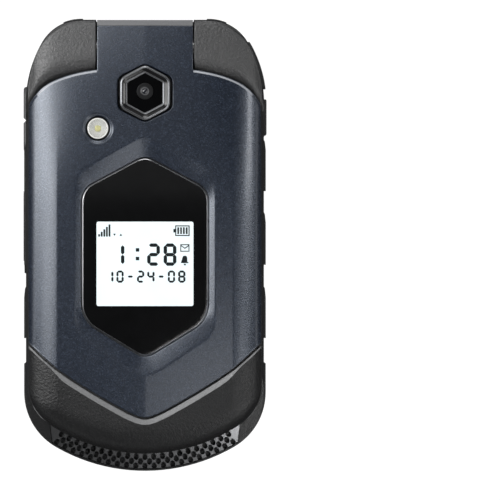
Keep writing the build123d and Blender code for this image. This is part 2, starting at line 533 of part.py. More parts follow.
jc = (prism(outline(-0.75), JACK_Z - 3.5, JACK_Z + 3.5) - prism(outline(0.75), 5, 15)) & boxx(20, 33, 40.1, 52.2, 5, 15)
JACK_AX = (29.85, 40.4)
jc = jc & extrude(Plane(origin=(24, 0, 0), x_dir=(0, 1, 0), z_dir=(1, 0, 0)) * (Pos(46.1, JACK_Z) * RectangleRounded(12.2, 7.0, 2.0)), amount=10, dir=(1, 0, 0))
jc = jc + cylz(JACK_AX[0], JACK_AX[1], JACK_Z - 1.6, JACK_Z + 1.6, 0.45)
jc = jc + cylx(26.9, 28.6, JACK_Y, JACK_Z, 1.0)
keep("jack_cover", jc)
bump = (prism(outline(-0.5), 6.4, 15.2) - prism(outline(0.6), 5, 16))
bumps = [bump & boxx(min(a, b), max(a, b), 50, 60, 5, 16) for a, b in ((15.9, 20.9), (-15.9, -20.9))]
bump_room = [(prism(outline(-0.6), 6.4, 15.2) - prism(outline(0.6), 5, 16)) & boxx(min(a, b), max(a, b), 50, 60, 5, 16)
             for a, b in ((15.9, 20.9), (-15.9, -20.9))]
keep("top_bumpers", bumps)
rear = rear - bump_room
front = front - bump_room
keep("rear_housing", rear)
keep("front_housing", front)

# ------------------------------------------------------------------ keypad keys
for n, (x, y, w, h, r) in KEYS.items():
    cap = rr(x, y, w, h, r, 15.0, KEY_TOP)
    cap = fillet(cap.edges().group_by(Axis.Z)[-1], 0.45)
    cap = cap + rr(x, y, w + 0.9, h + 0.9, r + 0.45, 15.0, 15.45)
    keep(n, cap)
nav = rr(*NAV[:2], NAV[2], NAV[3], NAV[4], 15.15, KEY_TOP)
nav = fillet(nav.edges().group_by(Axis.Z)[-1], 0.5)
nav = nav + rr(*NAV[:2], NAV[2] + 0.9, NAV[3] + 0.9, NAV[4] + 0.45, 15.0, 15.2)
nav = nav - rr(OK_KEY[0], OK_KEY[1], OK_KEY[2] + 0.5, OK_KEY[3] + 0.5, OK_KEY[4] + 0.25, 14, 18)
nav = nav - rr(OK_KEY[0], OK_KEY[1], OK_KEY[2] + 2.0, OK_KEY[3] + 2.0, OK_KEY[4] + 1.0, 14, 15.75)
nav = nav - [cylz(NAV[0] + dx, NAV[1] + dy, KEY_TOP - 0.12, KEY_TOP + 1, 0.55) for dx, dy in ((9.4, 0), (-9.4, 0), (0, 8.6), (0, -8.6))]
keep("nav_ring", nav)
gimbal = rr(*NAV[:2], 16.6, 14.8, 2.0, 14.4, 14.8) - rr(*NAV[:2], 12.8, 11.8, 3.0, 14, 15)
gimbal = gimbal + [cylx(min(a, b), max(a, b), NAV[1], 14.6, 0.2) for a, b in ((8.2, 8.75), (-8.2, -8.75))]
gimbal = gimbal + [cyly(NAV[0], 14.6, NAV[1] + min(a, b), NAV[1] + max(a, b), 0.2) for a, b in ((7.3, 7.85), (-7.3, -7.85))]
keep("nav_gimbal", gimbal)
ok = rr(*OK_KEY[:2], OK_KEY[2], OK_KEY[3], OK_KEY[4], 15.0, KEY_TOP + 0.1)
ok = fillet(ok.edges().group_by(Axis.Z)[-1], 0.45)
ok = ok + rr(*OK_KEY[:2], OK_KEY[2] + 1.2, OK_KEY[3] + 1.2, OK_KEY[4] + 0.6, 15.0, 15.4)
keep("ok_key", ok)

# ------------------------------------------------------------------ hinge
hm = cylx(-23.3, -13.4, HINGE_Y, HINGE_Z, 4.05) - cylx(-21.6, -12, HINGE_Y, HINGE_Z, SHAFT_R + 0.06)
keep("hinge_module", hm)
shaft = cylx(-21.3, -2.5, HINGE_Y, HINGE_Z, SHAFT_R)
keep("hinge_shaft", shaft)
pin = cylx(HPIN_X[0], HPIN_X[1], HINGE_Y, HINGE_Z, SHAFT_R) - cylx(0, 30, HINGE_Y, HINGE_Z, 1.5)
keep("hinge_pin", pin)

# ------------------------------------------------------------------ lid shells
wing_pts = offset_curve(SH_CURVE, 0.35)
wing_cut = yz_prism(shoulder_region(wing_pts, 27.0), -40, 40) + cylx(-40, 40, HINGE_Y, HINGE_Z, TROUGH_R)
wing_cut = wing_cut - boxx(-TONGUE_X, TONGUE_X, 20, 70, 0, 30)
lid_form = prism(lid_outline(0), LID_Z, 27) & crown_form & tail_tool
lid_form = lid_form - wing_cut - boxx(-40, 40, 57.0, 60, 0, 30)
barrel_full = cylx(-TONGUE_X, TONGUE_X, HINGE_Y, HINGE_Z, BARREL_R) & boxx(-20, 20, 30, 57.35, 0, 30)
tongue_top = crown_form & boxx(-TONGUE_X, TONGUE_X, 36, 57.35, LID_Z - 0.2, 30)
barrel = (barrel_full & boxx(-20, 20, 30, 60, 0, LID_Z)) + (barrel_full & tongue_top)

# inner room of the lid
room_face = poly([(0, 23.9), (21.4, 23.1), (26.8, 20.9), (28.2, 19.4), (-28.2, 19.4), (-26.8, 20.9), (-21.4, 23.1)])
room = extrude(on_xz(-38.5) * room_face, amount=76.3, dir=(0, 1, 0)) & prism(lid_outline(1.7), 10, 30)
room_face_b = poly([(0, 22.4), (21.4, 22.2), (26.4, 20.9), (28.2, 19.4), (-28.2, 19.4), (-26.4, 20.9), (-21.4, 22.2)])
room_b = extrude(on_xz(-46.5) * room_face_b, amount=10.0, dir=(0, 1, 0)) & prism(lid_outline(3.2), 10, 30)
room = room + room_b
room = room - yz_prism(shoulder_region(offset_curve(SH_CURVE, 1.9), 27.0), -40, -TONGUE_X + 1.4) - yz_prism(
    shoulder_region(offset_curve(SH_CURVE, 1.9), 27.0), TONGUE_X - 1.4, 40)
room = room - cylx(-TONGUE_X - 1.5, TONGUE_X + 1.5, HINGE_Y, HINGE_Z, BARREL_R + 0.0)

# hexagonal display window and the bevelled recess around it
HEX_IN = [(0, 23.0), (16.35, 14.3), (16.35, -19.3), (0, -29.2), (-16.35, -19.3), (-16.35, 14.3)]
HEX_OUT = [(0, 30.7), (21.0, 19.1), (21.0, -23.8), (0, -38.5), (-21.0, -23.8), (-21.0, 19.1)]
HEX_Z = 24.3


def hexface(pts, r_top, r_up, r_low, r_foot):
    f = poly(pts)
    for r, want in ((r_top, lambda v: abs(v.X) < 0.1 and v.Y > 20), (r_foot, lambda v: abs(v.X) < 0.1 and v.Y < -20),
                    (r_up, lambda v: abs(v.X) > 15.5 and v.Y > 10), (r_low, lambda v: abs(v.X) > 15.5 and v.Y < -15)):
        f = fillet([v for v in f.vertices() if want(v)], r)
    return f


hex_in = hexface(HEX_IN, 4.5, 5.5, 8.0, 4.5)
hex_out = hexface(HEX_OUT, 4.5, 7.0, 7.0, 6.6)
hex_recess = loft([Pos(0, 0, HEX_Z) * hex_in, Pos(0, 0, 26.0) * hex_out], ruled=True)
plateau = poly_prism([(0, 29.0), (19.5, 19.6), (19.5, -22.6), (0, -35.6), (-19.5, -22.6), (-19.5, 19.6)], 22.7, 30)
room = room - plateau
window_pocket = prism(hex_in, 23.45, 30)
display_pocket = boxx(-14.2, 14.2, -18.0, 8.4, 20, 23.2) + boxx(-13.0, 13.0, -16.2, 6.7, 23.0, 23.6)

# camera and flash openings
def cam_hex(w, h, shoulder, r_tip, r_side):
    f = poly([(0, CAM_Y + h / 2), (w / 2, CAM_Y + shoulder), (w / 2, CAM_Y - shoulder), (0, CAM_Y - h / 2),
              (-w / 2, CAM_Y - shoulder), (-w / 2, CAM_Y + shoulder)])
    side = [v for v in f.vertices() if abs(v.X) > 1]
    f = fillet(side, r_side)
    tip = [v for v in f.vertices() if abs(v.X) < 0.1]
    return fillet(tip, r_tip)


cam_out = cam_hex(13.6, 14.6, 3.9, 2.0, 2.4)
cam_hole = prism(cam_hex(14.0, 15.0, 4.0, 2.1, 2.5), 23.7, 30) + boxx(-4.4, 4.4, CAM_Y - 4.4, CAM_Y + 4.4, 18.6, 24)
flash_hole = cylz(FLASH[0], FLASH[1], 24.1, 30, 3.65) + cylz(FLASH[0], FLASH[1], 19.4, 25, 2.95)

# split between the painted cover, the black end cap and the inner housing
skin_face = poly([(-60, LID_SEAM_Z), (42.6, LID_SEAM_Z), (45.4, 23.0), (55.9, 23.0), (55.9, 30), (-60, 30)])
skin_zone = yz_prism(skin_face, -40, 40)
cap_zone = poly_prism([(-40, -15.9), (-30.2, -24.6), (-22.5, -31.4), (0, -44.4), (22.5, -31.4), (30.2, -24.6), (40, -15.9), (40, -70), (-40, -70)], 15, 30)

LID_SCREWS = [(25.9, 24.0), (-25.9, 24.0), (22.0, -41.5), (-22.0, -41.5)]
posts = Part() + [cylz(x, y, 19.3, 30, 2.1) for x, y in LID_SCREWS]
post_holes = [cylz(x, y, 18.0, 22.4, 0.85) for x, y in LID_SCREWS]
shell = lid_form & skin_zone
room_skin = room - posts
outer = (shell - cap_zone) - room_skin - hex_recess - window_pocket - display_pocket - cam_hole - flash_hole - post_holes
keep("lid_outer_cover", outer)
cap = (shell & cap_zone) - room_skin - hex_recess - post_holes
keep("lid_end_cap", cap)

inner = (lid_form - skin_zone) + barrel
inner = inner - (yz_prism(poly([(-60, LID_SEAM_Z), (42.6, LID_SEAM_Z), (45.4, 23.0), (55.9, 23.0), (55.9, 30), (-60, 30)]), -40, 40))
WIN = (0.0, -6.0, 48.0, 66.0)
inner = inner - (room - posts)
inner = inner - rr(WIN[0], WIN[1], WIN[2] + 0.1, WIN[3] + 0.1, 2.55, 17, 18.85)
inner = inner - boxx(-22.2, 22.2, WIN[1] - 30.2, WIN[1] + 30.2, 17, 24)
inner = inner - cam_hole - post_holes - [cylz(x, y, 17.0, 18.75, 1.7) for x, y in LID_SCREWS]
inner = inner - cylx(-TONGUE_X - 1, -2.4, HINGE_Y, HINGE_Z, SHAFT_R + 0.02) - cylx(3.9, TONGUE_X + 1, HINGE_Y, HINGE_Z, SHAFT_R + 0.02)
# cable duct from the hollow pin into the lid
inner = inner - boxx(-2.0, 4.2, HINGE_Y - 1.8, HINGE_Y + 1.8, HINGE_Z - 1.8, HINGE_Z + 1.8)
duct = side_poly([(HINGE_Y + 1.8, HINGE_Z - 0.2), (HINGE_Y + 1.8, HINGE_Z + 1.8), (45.0, 18.9), (34.9, 19.2), (34.9, 18.15), (44.2, 17.2)], -1.9, 3.1)
inner = inner - duct
inner = inner - rr(0, 31.5, 9.0, 1.2, 0.5, 17, 19) - boxx(-6.2, 6.2, 29.3, 33.7, 18.55, 21.2)
# shallow rib lines across the barrel end
keep("lid_inner_housing", inner)

keep("lid_chassis", (boxx(-25.6, 25.6, -40.0, 27.6, 21.0, 21.5) & prism(lid_outline(3.5), 0, 30) & room_skin)
     - [cylz(x, y, 18.0, 23, 2.4) for x, y in LID_SCREWS] - cylz(FLASH[0], FLASH[1], 19, 26, 3.2) - boxx(-6.4, 6.4, 29.0, 34, 19, 22))
mw = rr(*WIN, 2.5, 17.8, 18.8)
keep("main_window", mw)
keep("main_display", boxx(-22.0, 22.0, WIN[1] - 30.0, WIN[1] + 30.0, 18.9, 20.9))
keep("sub_display", boxx(-14.0, 14.0, -17.8, 8.2, 21.6, 23.1))
sw_f = hexface([(x * 0.994, y * 0.996) for x, y in HEX_IN], 4.45, 5.45, 7.95, 4.45)
keep("sub_window", prism(sw_f, 23.5, HEX_Z))

# camera
bez = prism(cam_out, 23.75, 26.2)
bez = chamfer(bez.edges().group_by(Axis.Z)[-1], 0.55)
bez = bez - prism(cam_hex(10.2, 10.4, 2.9, 0.6, 0.9), 25.3, 27) - cylz(0, CAM_Y + 0.45, 23, 26, 2.6)
keep("camera_bezel", bez)
camm = boxx(-4.1, 4.1, CAM_Y - 4.1, CAM_Y + 4.1, 18.9, 23.65) + cylz(0, CAM_Y + 0.45, 23.6, 25.1, 2.5)
camm = camm - cylz(0, CAM_Y + 0.45, 24.6, 26, 1.5) + (Pos(0, CAM_Y + 0.45, 23.85) * Sphere(1.45) & boxx(-3, 3, CAM_Y - 3, CAM_Y + 4, 24.0, 25.1))
keep("camera_module", camm)
fl = cylz(FLASH[0], FLASH[1], 21.8, 24.5, 2.85) + ((Pos(FLASH[0], FLASH[1], 24.5) * Sphere(2.85)) & boxx(-20, 0, 20, 40, 24.4, 25.2))
keep("flash_lens", fl)
keep("earpiece", rr(0, 31.5, 12.0, 4.0, 1.8, 18.65, 20.9))
keep("lid_screws", [cylz(x, y, 17.85, 18.65, 1.6) + cylz(x, y, 18.6, 22.2, 0.8) - boxx(x - 1.0, x + 1.0, y - 0.2, y + 0.2, 17, 18.2)
                    - boxx(x - 0.2, x + 0.2, y - 1.0, y + 1.0, 17, 18.2) for x, y in LID_SCREWS])
keep("lid_bumpers", [cylz(sx * 27.6, y, 17.35, LID_Z, 1.0) for sx in (-1, 1) for y in (-22.0, 18.0)])

flex = cylx(2.0, 23.2, HINGE_Y, HINGE_Z, 1.1)
flex_strip = side_poly([(HINGE_Y + 0.4, HINGE_Z), (HINGE_Y + 0.2, HINGE_Z + 0.6), (44.6, 18.15), (35.0, 18.62), (35.0, 18.3), (44.5, 17.8)], -1.5, 2.6)
flex = flex + flex_strip
keep("flex_cable", flex)

print("nodes:", len(PARTS))
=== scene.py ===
import math

import bpy
import numpy as np
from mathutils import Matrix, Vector


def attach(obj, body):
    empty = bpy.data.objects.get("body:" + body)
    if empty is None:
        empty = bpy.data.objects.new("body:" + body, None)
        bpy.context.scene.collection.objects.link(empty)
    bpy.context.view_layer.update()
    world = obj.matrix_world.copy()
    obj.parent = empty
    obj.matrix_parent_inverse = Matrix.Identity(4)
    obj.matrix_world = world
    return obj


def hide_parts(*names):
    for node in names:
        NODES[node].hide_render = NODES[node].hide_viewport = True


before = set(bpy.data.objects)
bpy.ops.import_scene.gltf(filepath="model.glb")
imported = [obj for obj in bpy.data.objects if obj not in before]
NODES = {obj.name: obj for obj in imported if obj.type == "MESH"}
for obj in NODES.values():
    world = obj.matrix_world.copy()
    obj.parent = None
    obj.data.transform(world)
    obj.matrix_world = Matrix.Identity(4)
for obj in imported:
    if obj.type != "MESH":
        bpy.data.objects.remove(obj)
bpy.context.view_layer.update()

S = 0.001            # lengths below are in millimetres, in the CAD frame


# ------------------------------------------------------------------ camera
# Looking straight down on the closed lid through a long lens, with the hinge end up. The
# camera stands above the phone and is turned a little, so the phone sits left of the middle.
PX = 0.2556          # mm per pixel of the 500 pixel frame
LENS = 400.0
PLANE = 20.0
DIST = 500 * PX * LENS / 36.0
aim = Vector(((250 - 145) * PX, (245 - 250) * PX, PLANE))
eye = Vector((0.0, 0.0, PLANE + math.sqrt(DIST ** 2 - aim.x ** 2)))
cam_data = bpy.data.cameras.new("camera")
cam = bpy.data.objects.new("camera", cam_data)
bpy.context.scene.collection.objects.link(cam)
cam_data.lens = LENS
cam_data.sensor_width = 36.0
cam_data.clip_start, cam_data.clip_end = 0.1, 10.0
cam.location = eye * S
look = (aim - eye).normalized()
right = Vector((1, 0, 0))
right = (right - look * right.dot(look)).normalized()
up = right.cross(look)
from mathutils import Matrix
cam.rotation_euler = Matrix((right, up, -look)).transposed().to_euler()
bpy.context.scene.camera = cam


# ------------------------------------------------------------------ material kit
def new_material(name):
    m = bpy.data.materials.new(name)
    m.use_nodes = True
    nt = m.node_tree
    b = nt.nodes["Principled BSDF"]
    return m, nt, b


def node(nt, kind, **kw):
    n = nt.nodes.new(kind)
    for k, v in kw.items():
        if k in n.inputs:
            n.inputs[k].default_value = v
        else:
            setattr(n, k, v)
    return n


def ramp(nt, src, stops):
    r = nt.nodes.new("ShaderNodeValToRGB")
    e = r.color_ramp.elements
    while len(e) < len(stops):
        e.new(0.5)
    for el, (p, c) in zip(e, stops):
        el.position = p
        el.color = (*c, 1.0)
    nt.links.new(src, r.inputs[0])
    return r.outputs[0]


def coords(nt):
    return nt.nodes.new("ShaderNodeTexCoord").outputs["Object"]


def noise(nt, vec, scale, detail=2.0, rough=0.5, distortion=0.0):
    n = node(nt, "ShaderNodeTexNoise")
    n.inputs["Scale"].default_value = scale
    n.inputs["Detail"].default_value = detail
    n.inputs["Roughness"].default_value = rough
    n.inputs["Distortion"].default_value = distortion
    nt.links.new(vec, n.inputs["Vector"])
    return n.outputs["Fac"]


def voronoi(nt, vec, scale, feature="F1", out="Distance"):
    n = nt.nodes.new("ShaderNodeTexVoronoi")
    n.feature = feature
    n.inputs["Scale"].default_value = scale
    nt.links.new(vec, n.inputs["Vector"])
    return n.outputs[out]


def span(nt, src, lo, hi):
    m = nt.nodes.new("ShaderNodeMapRange")
    m.inputs["From Min"].default_value = 0.25
    m.inputs["From Max"].default_value = 0.75
    m.inputs["To Min"].default_value = lo
    m.inputs["To Max"].default_value = hi
    nt.links.new(src, m.inputs["Value"])
    return m.outputs["Result"]


def bump(nt, b, heights):
    """heights: list of (socket, strength, distance in mm), stacked."""
    last = None
    for sock, strength, dist in heights:
        n = nt.nodes.new("ShaderNodeBump")
        n.inputs["Strength"].default_value = strength
        n.inputs["Distance"].default_value = dist * S
        nt.links.new(sock, n.inputs["Height"])
        if last is not None:
            nt.links.new(last, n.inputs["Normal"])
        last = n.outputs["Normal"]
    nt.links.new(last, b.inputs["Normal"])


def shade(c, k):
    return tuple(min(1.0, max(0.0, v * k)) for v in c)


def surface(name, color, rough, spread=0.12, scale=1200.0, rough_spread=0.05, metallic=0.0,
            grain=None, coat=0.0, coat_rough=0.1, specular=None, ior=None, smudge=True):
    """A moulded or metal finish: colour and roughness drift with noise, and grain is a list of (scale, strength, depth mm)."""
    m, nt, b = new_material(name)
    v = coords(nt)
    n1 = noise(nt, v, scale, 3.0, 0.6)
    c = ramp(nt, n1, [(0.25, shade(color, 1 - spread)), (0.75, shade(color, 1 + spread))])
    nt.links.new(c, b.inputs["Base Color"])
    b.inputs["Metallic"].default_value = metallic
    n2 = noise(nt, v, 60.0 if smudge else scale, 3.0, 0.6)
    nt.links.new(span(nt, n2, rough - rough_spread, rough + rough_spread), b.inputs["Roughness"])
    if coat:
        b.inputs["Coat Weight"].default_value = coat
        b.inputs["Coat Roughness"].default_value = coat_rough
    if specular is not None:
        b.inputs["Specular IOR Level"].default_value = specular
    if grain:
        bump(nt, b, [(noise(nt, v, g[0], 2.0, 0.5), g[1], g[2]) for g in grain])
    return m


def flake_paint():
    """Dark navy metallic paint with a fine texture under a satin clear coat."""
    m, nt, b = new_material("navy_flake_paint")
    v = coords(nt)
    fine = noise(nt, v, 3700.0, 2.0, 0.65)
    cell = voronoi(nt, v, 4200.0, out="Color")
    sep = nt.nodes.new("ShaderNodeSeparateColor")
    nt.links.new(cell, sep.inputs["Color"])
    c = ramp(nt, sep.outputs["Red"], [(0.0, (0.0025, 0.0048, 0.0108)), (0.5, (0.0050, 0.0084, 0.0170)), (0.80, (0.0100, 0.0148, 0.0270)), (1.0, (0.0340, 0.0445, 0.0660))])
    nt.links.new(c, b.inputs["Base Color"])
    b.inputs["Specular IOR Level"].default_value = 0.90
    b.inputs["Specular Tint"].default_value = (0.79, 0.87, 1.0, 1.0)
    nt.links.new(span(nt, fine, 0.25, 0.33), b.inputs["Roughness"])
    b.inputs["Coat Weight"].default_value = 0.60
    b.inputs["Coat Roughness"].default_value = 0.22
    b.inputs["Coat IOR"].default_value = 1.5
    bump(nt, b, [(fine, 0.42, 0.075)])
    return m


def leather(name, color, rough, cell, depth, fine=3800.0):
    """Pebbled moulded grain of the grips: soft cells with narrow valleys."""
    m, nt, b = new_material(name)
    v = coords(nt)
    warp = node(nt, "ShaderNodeTexNoise")
    warp.inputs["Scale"].default_value = cell * 0.6
    nt.links.new(v, warp.inputs["Vector"])
    mixv = nt.nodes.new("ShaderNodeMix")
    mixv.data_type = "VECTOR"
    mixv.inputs["Factor"].default_value = 0.0012
    nt.links.new(v, mixv.inputs["A"])
    nt.links.new(warp.outputs["Color"], mixv.inputs["B"])
    d = voronoi(nt, mixv.outputs["Result"], cell, feature="SMOOTH_F1")
    n1 = noise(nt, v, cell * 0.5, 3.0, 0.6)
    c = ramp(nt, n1, [(0.25, shade(color, 0.82)), (0.75, shade(color, 1.18))])
    nt.links.new(c, b.inputs["Base Color"])
    nt.links.new(span(nt, noise(nt, v, 80.0, 3.0, 0.6), rough - 0.05, rough + 0.05), b.inputs["Roughness"])
    bump(nt, b, [(d, 0.75, depth), (noise(nt, v, fine, 2.0, 0.5), 0.25, 0.03)])
    return m


MATS = {}
MATS["paint"] = flake_paint()
def grained(name, color, rough, scale, depth, specular=0.5, spread=0.18, side=None):
    """Moulded plastic with a leather-like grain. side gives (colour, roughness, specular) for the upright outer walls;
    only its colour is used.
    """
    m, nt, b = new_material(name)
    v = coords(nt)
    big = noise(nt, v, scale, 3.0, 0.62, 0.4)
    small = noise(nt, v, scale * 2.6, 2.0, 0.55)
    drift = noise(nt, v, 70.0, 3.0, 0.6)
    c = ramp(nt, small, [(0.25, shade(color, 1 - spread)), (0.75, shade(color, 1 + spread))])
    r = span(nt, drift, rough - 0.04, rough + 0.04)
    b.inputs["Specular IOR Level"].default_value = specular
    if side:
        sep = nt.nodes.new("ShaderNodeSeparateXYZ")
        nt.links.new(v, sep.inputs[0])
        ax = nt.nodes.new("ShaderNodeMath")
        ax.operation = "ABSOLUTE"
        nt.links.new(sep.outputs["X"], ax.inputs[0])
        f = nt.nodes.new("ShaderNodeMapRange")
        f.inputs["From Min"].default_value = 0.0292
        f.inputs["From Max"].default_value = 0.0306
        nt.links.new(ax.outputs[0], f.inputs["Value"])
        c2 = ramp(nt, small, [(0.25, shade(side[0], 1 - spread)), (0.75, shade(side[0], 1 + spread))])
        mc = nt.nodes.new("ShaderNodeMix")
        mc.data_type = "RGBA"
        nt.links.new(f.outputs["Result"], mc.inputs["Factor"])
        nt.links.new(c, mc.inputs["A"])
        nt.links.new(c2, mc.inputs["B"])
        c = mc.outputs["Result"]
    nt.links.new(c, b.inputs["Base Color"])
    nt.links.new(r, b.inputs["Roughness"])
    bump(nt, b, [(big, 0.55, depth), (small, 0.30, depth * 0.35)])
    return m


MATS["cap"] = grained("black_grain_plastic", (0.0080, 0.0082, 0.0088), 0.41, 1500.0, 0.34, 0.45)
MATS["lip"] = grained("satin_grey_edge", (0.150, 0.152, 0.156), 0.38, 1700.0, 0.28, 1.0, 0.16)
MATS["charcoal"] = grained("charcoal_grain_plastic", (0.0110, 0.0113, 0.0119), 0.43, 1300.0, 0.20, 0.55)
MATS["skin"] = grained("shoulder_grain", (0.0290, 0.0293, 0.0304), 0.44, 1500.0, 0.44, 1.0)
MATS["grey"] = surface("grey_moulded_plastic", (0.150, 0.152, 0.157), 0.44, 0.08, 2200.0, 0.05, grain=[(2600.0, 0.22, 0.04)])
def grey_with_painted_shade(name, color, edge, rough):
    """Moulded grey with painted shade: near black on the outer side strip and on the steep faces at the lower end, grey
    again on the barrel at the hinge.
    """
    m, nt, b = new_material(name)
    v = coords(nt)
    fine = noise(nt, v, 2200.0, 2.0, 0.6)
    nsep = nt.nodes.new("ShaderNodeSeparateXYZ")
    nt.links.new(nt.nodes.new("ShaderNodeTexCoord").outputs["Normal"], nsep.inputs[0])
    psep = nt.nodes.new("ShaderNodeSeparateXYZ")
    nt.links.new(v, psep.inputs[0])

    def part(src, kind, lo, hi):
        if kind == "ABSOLUTE":
            a = nt.nodes.new("ShaderNodeMath")
            a.operation = "ABSOLUTE"
            nt.links.new(src, a.inputs[0])
            src = a.outputs[0]
        f = nt.nodes.new("ShaderNodeMapRange")
        f.inputs["From Min"].default_value = lo
        f.inputs["From Max"].default_value = hi
        nt.links.new(src, f.inputs["Value"])
        return f.outputs["Result"]

    # masks of the painted shade: the outer side strip and the steep faces at the lower end, but not on the hinge barrel
    side = part(psep.outputs["X"], "ABSOLUTE", 0.0283, 0.0287)
    hinge = part(psep.outputs["Y"], "", 0.0400, 0.0380)
    steep = part(nsep.outputs["Z"], "ABSOLUTE", 0.95, 0.85)
    low = part(psep.outputs["Y"], "", -0.0290, -0.0310)
    chin_mask = nt.nodes.new("ShaderNodeMath")
    chin_mask.operation = "MULTIPLY"
    nt.links.new(steep, chin_mask.inputs[0])
    nt.links.new(low, chin_mask.inputs[1])
    chin = chin_mask.outputs[0]
    shade_mask = nt.nodes.new("ShaderNodeMath")
    shade_mask.operation = "MAXIMUM"
    nt.links.new(side, shade_mask.inputs[0])
    nt.links.new(chin, shade_mask.inputs[1])
    fac = nt.nodes.new("ShaderNodeMath")
    fac.operation = "MULTIPLY"
    nt.links.new(shade_mask.outputs[0], fac.inputs[0])
    nt.links.new(hinge, fac.inputs[1])
    c1 = ramp(nt, fine, [(0.25, shade(color, 0.93)), (0.75, shade(color, 1.07))])
    c2 = ramp(nt, fine, [(0.25, shade(edge, 0.85)), (0.75, shade(edge, 1.15))])
    mix = nt.nodes.new("ShaderNodeMix")
    mix.data_type = "RGBA"
    nt.links.new(fac.outputs[0], mix.inputs["Factor"])
    nt.links.new(c1, mix.inputs["A"])
    nt.links.new(c2, mix.inputs["B"])
    nt.links.new(mix.outputs["Result"], b.inputs["Base Color"])
    nt.links.new(span(nt, noise(nt, v, 90.0, 3.0, 0.6), rough - 0.04, rough + 0.05), b.inputs["Roughness"])
    bump(nt, b, [(fine, 0.22, 0.04)])
    return m


# painted shade: the grey inner housing is coloured near black on its outer side strip and its steep lower end walls
MATS["grey_edge"] = grey_with_painted_shade("grey_moulding_painted_shade_edge", (0.150, 0.152, 0.157), (0.012, 0.012, 0.013), 0.46)
MATS["rubber"] = surface("soft_black_rubber", (0.022, 0.022, 0.023), 0.62, 0.18, 1800.0, 0.06, grain=[(2400.0, 0.35, 0.05)])
MATS["button"] = surface("dark_button_rubber", (0.050, 0.051, 0.053), 0.50, 0.12, 1800.0, 0.05, grain=[(3000.0, 0.2, 0.03)])
MATS["grille"] = surface("satin_grille_plate", (0.37, 0.375, 0.385), 0.32, 0.1, 2600.0, 0.05, metallic=1.0, grain=[(3600.0, 0.15, 0.03)])
MATS["black"] = surface("plain_black_plastic", (0.012, 0.012, 0.013), 0.5, 0.15, 1500.0, 0.05, grain=[(2500.0, 0.15, 0.03)])
MATS["steel"] = surface("turned_steel", (0.52, 0.52, 0.53), 0.30, 0.07, 900.0, 0.06, metallic=1.0, grain=[(5000.0, 0.08, 0.02)])
MATS["plated"] = surface("plated_shell", (0.66, 0.64, 0.58), 0.26, 0.06, 900.0, 0.05, metallic=1.0)
MATS["board"] = surface("green_board", (0.018, 0.075, 0.035), 0.42, 0.2, 900.0, 0.06, grain=[(1500.0, 0.2, 0.03)])
MATS["battery"] = surface("battery_wrap", (0.05, 0.052, 0.06), 0.5, 0.1, 700.0, 0.06)
MATS["silicone"] = surface("milky_silicone", (0.55, 0.55, 0.53), 0.5, 0.05, 700.0, 0.05)
MATS["red"] = surface("red_satin_trim", (0.50, 0.010, 0.012), 0.34, 0.07, 2200.0, 0.05, grain=[(3500.0, 0.1, 0.03)], coat=0.25, coat_rough=0.3)
MATS["key"] = surface("satin_black_keycap", (0.016, 0.0165, 0.018), 0.33, 0.12, 2000.0, 0.04, grain=[(3800.0, 0.1, 0.02)])
MATS["gloss"] = surface("gloss_black_window", (0.0030, 0.0031, 0.0034), 0.09, 0.2, 300.0, 0.02, specular=0.42)
MATS["deep"] = surface("deep_black_glass", (0.0015, 0.0016, 0.0019), 0.14, 0.2, 300.0, 0.02, specular=0.07)
MATS["screen"] = surface("dark_screen", (0.006, 0.007, 0.009), 0.16, 0.1, 300.0, 0.03)
MATS["flex"] = surface("amber_film", (0.30, 0.13, 0.02), 0.35, 0.12, 800.0, 0.05)
MATS["silver"] = surface("polished_trim", (0.62, 0.63, 0.65), 0.20, 0.05, 1800.0, 0.04, metallic=1.0)
MATS["grip"] = leather("grip_grain_plastic", (0.026, 0.0265, 0.028), 0.52, 1150.0, 0.22)

NODE_MATS = {
    "paint": ["lid_outer_cover"],
    "cap": ["lid_end_cap"],
    "grey_edge": ["lid_inner_housing"],
    "charcoal": ["front_housing", "rear_housing", "battery_cover"],
    "rubber": ["housing_seal", "usb_cover", "jack_cover", "top_bumpers", "lid_bumpers"],
    "button": ["volume_rocker", "ptt_button"],
    "grille": ["speaker_grille"],
    "steel": ["housing_screws", "lid_screws", "hinge_module", "hinge_shaft", "hinge_pin", "cover_lock", "nav_gimbal",
              "lid_chassis", "vibration_motor"],
    "plated": ["usb_connector", "card_holder"],
    "black": ["headset_jack", "side_switches", "loudspeakers", "earpiece", "camera_module", "camera_bezel"],
    "board": ["main_board"],
    "battery": ["battery"],
    "silicone": ["keypad_membrane"],
    "gloss": ["main_window", "sub_window"],
    "screen": ["main_display", "sub_display"],
    "silver": ["flash_lens"],
    "red": ["ptt_ring"],
    "flex": ["flex_cable"],
}
done = set()
for key, names in NODE_MATS.items():
    for n in names:
        NODES[n].data.materials.clear()
        NODES[n].data.materials.append(MATS[key])
        done.add(n)
for n, o in NODES.items():
    if n not in done:
        o.data.materials.clear()
        o.data.materials.append(MATS["key"])


# ------------------------------------------------------------------ mesh kit
def spline(xs, ys):
    """Natural cubic spline through the points, as a function."""
    x, y = np.array(xs, float), np.array(ys, float)
    n = len(x)
    h = np.diff(x)
    A = np.zeros((n, n))
    r = np.zeros(n)
    A[0, 0] = A[-1, -1] = 1
    for i in range(1, n - 1):
        A[i, i - 1], A[i, i], A[i, i + 1] = h[i - 1], 2 * (h[i - 1] + h[i]), h[i]
        r[i] = 3 * ((y[i + 1] - y[i]) / h[i] - (y[i] - y[i - 1]) / h[i - 1])
    c = np.linalg.solve(A, r)
    b = (y[1:] - y[:-1]) / h - h * (2 * c[:-1] + c[1:]) / 3
    d = (c[1:] - c[:-1]) / (3 * h)

    def f(q):
        q = np.asarray(q, float)
        i = np.clip(np.searchsorted(x, q) - 1, 0, n - 2)
        t = np.clip(q, x[0], x[-1]) - x[i]
        return y[i] + b[i] * t + c[i] * t ** 2 + d[i] * t ** 3
    return f


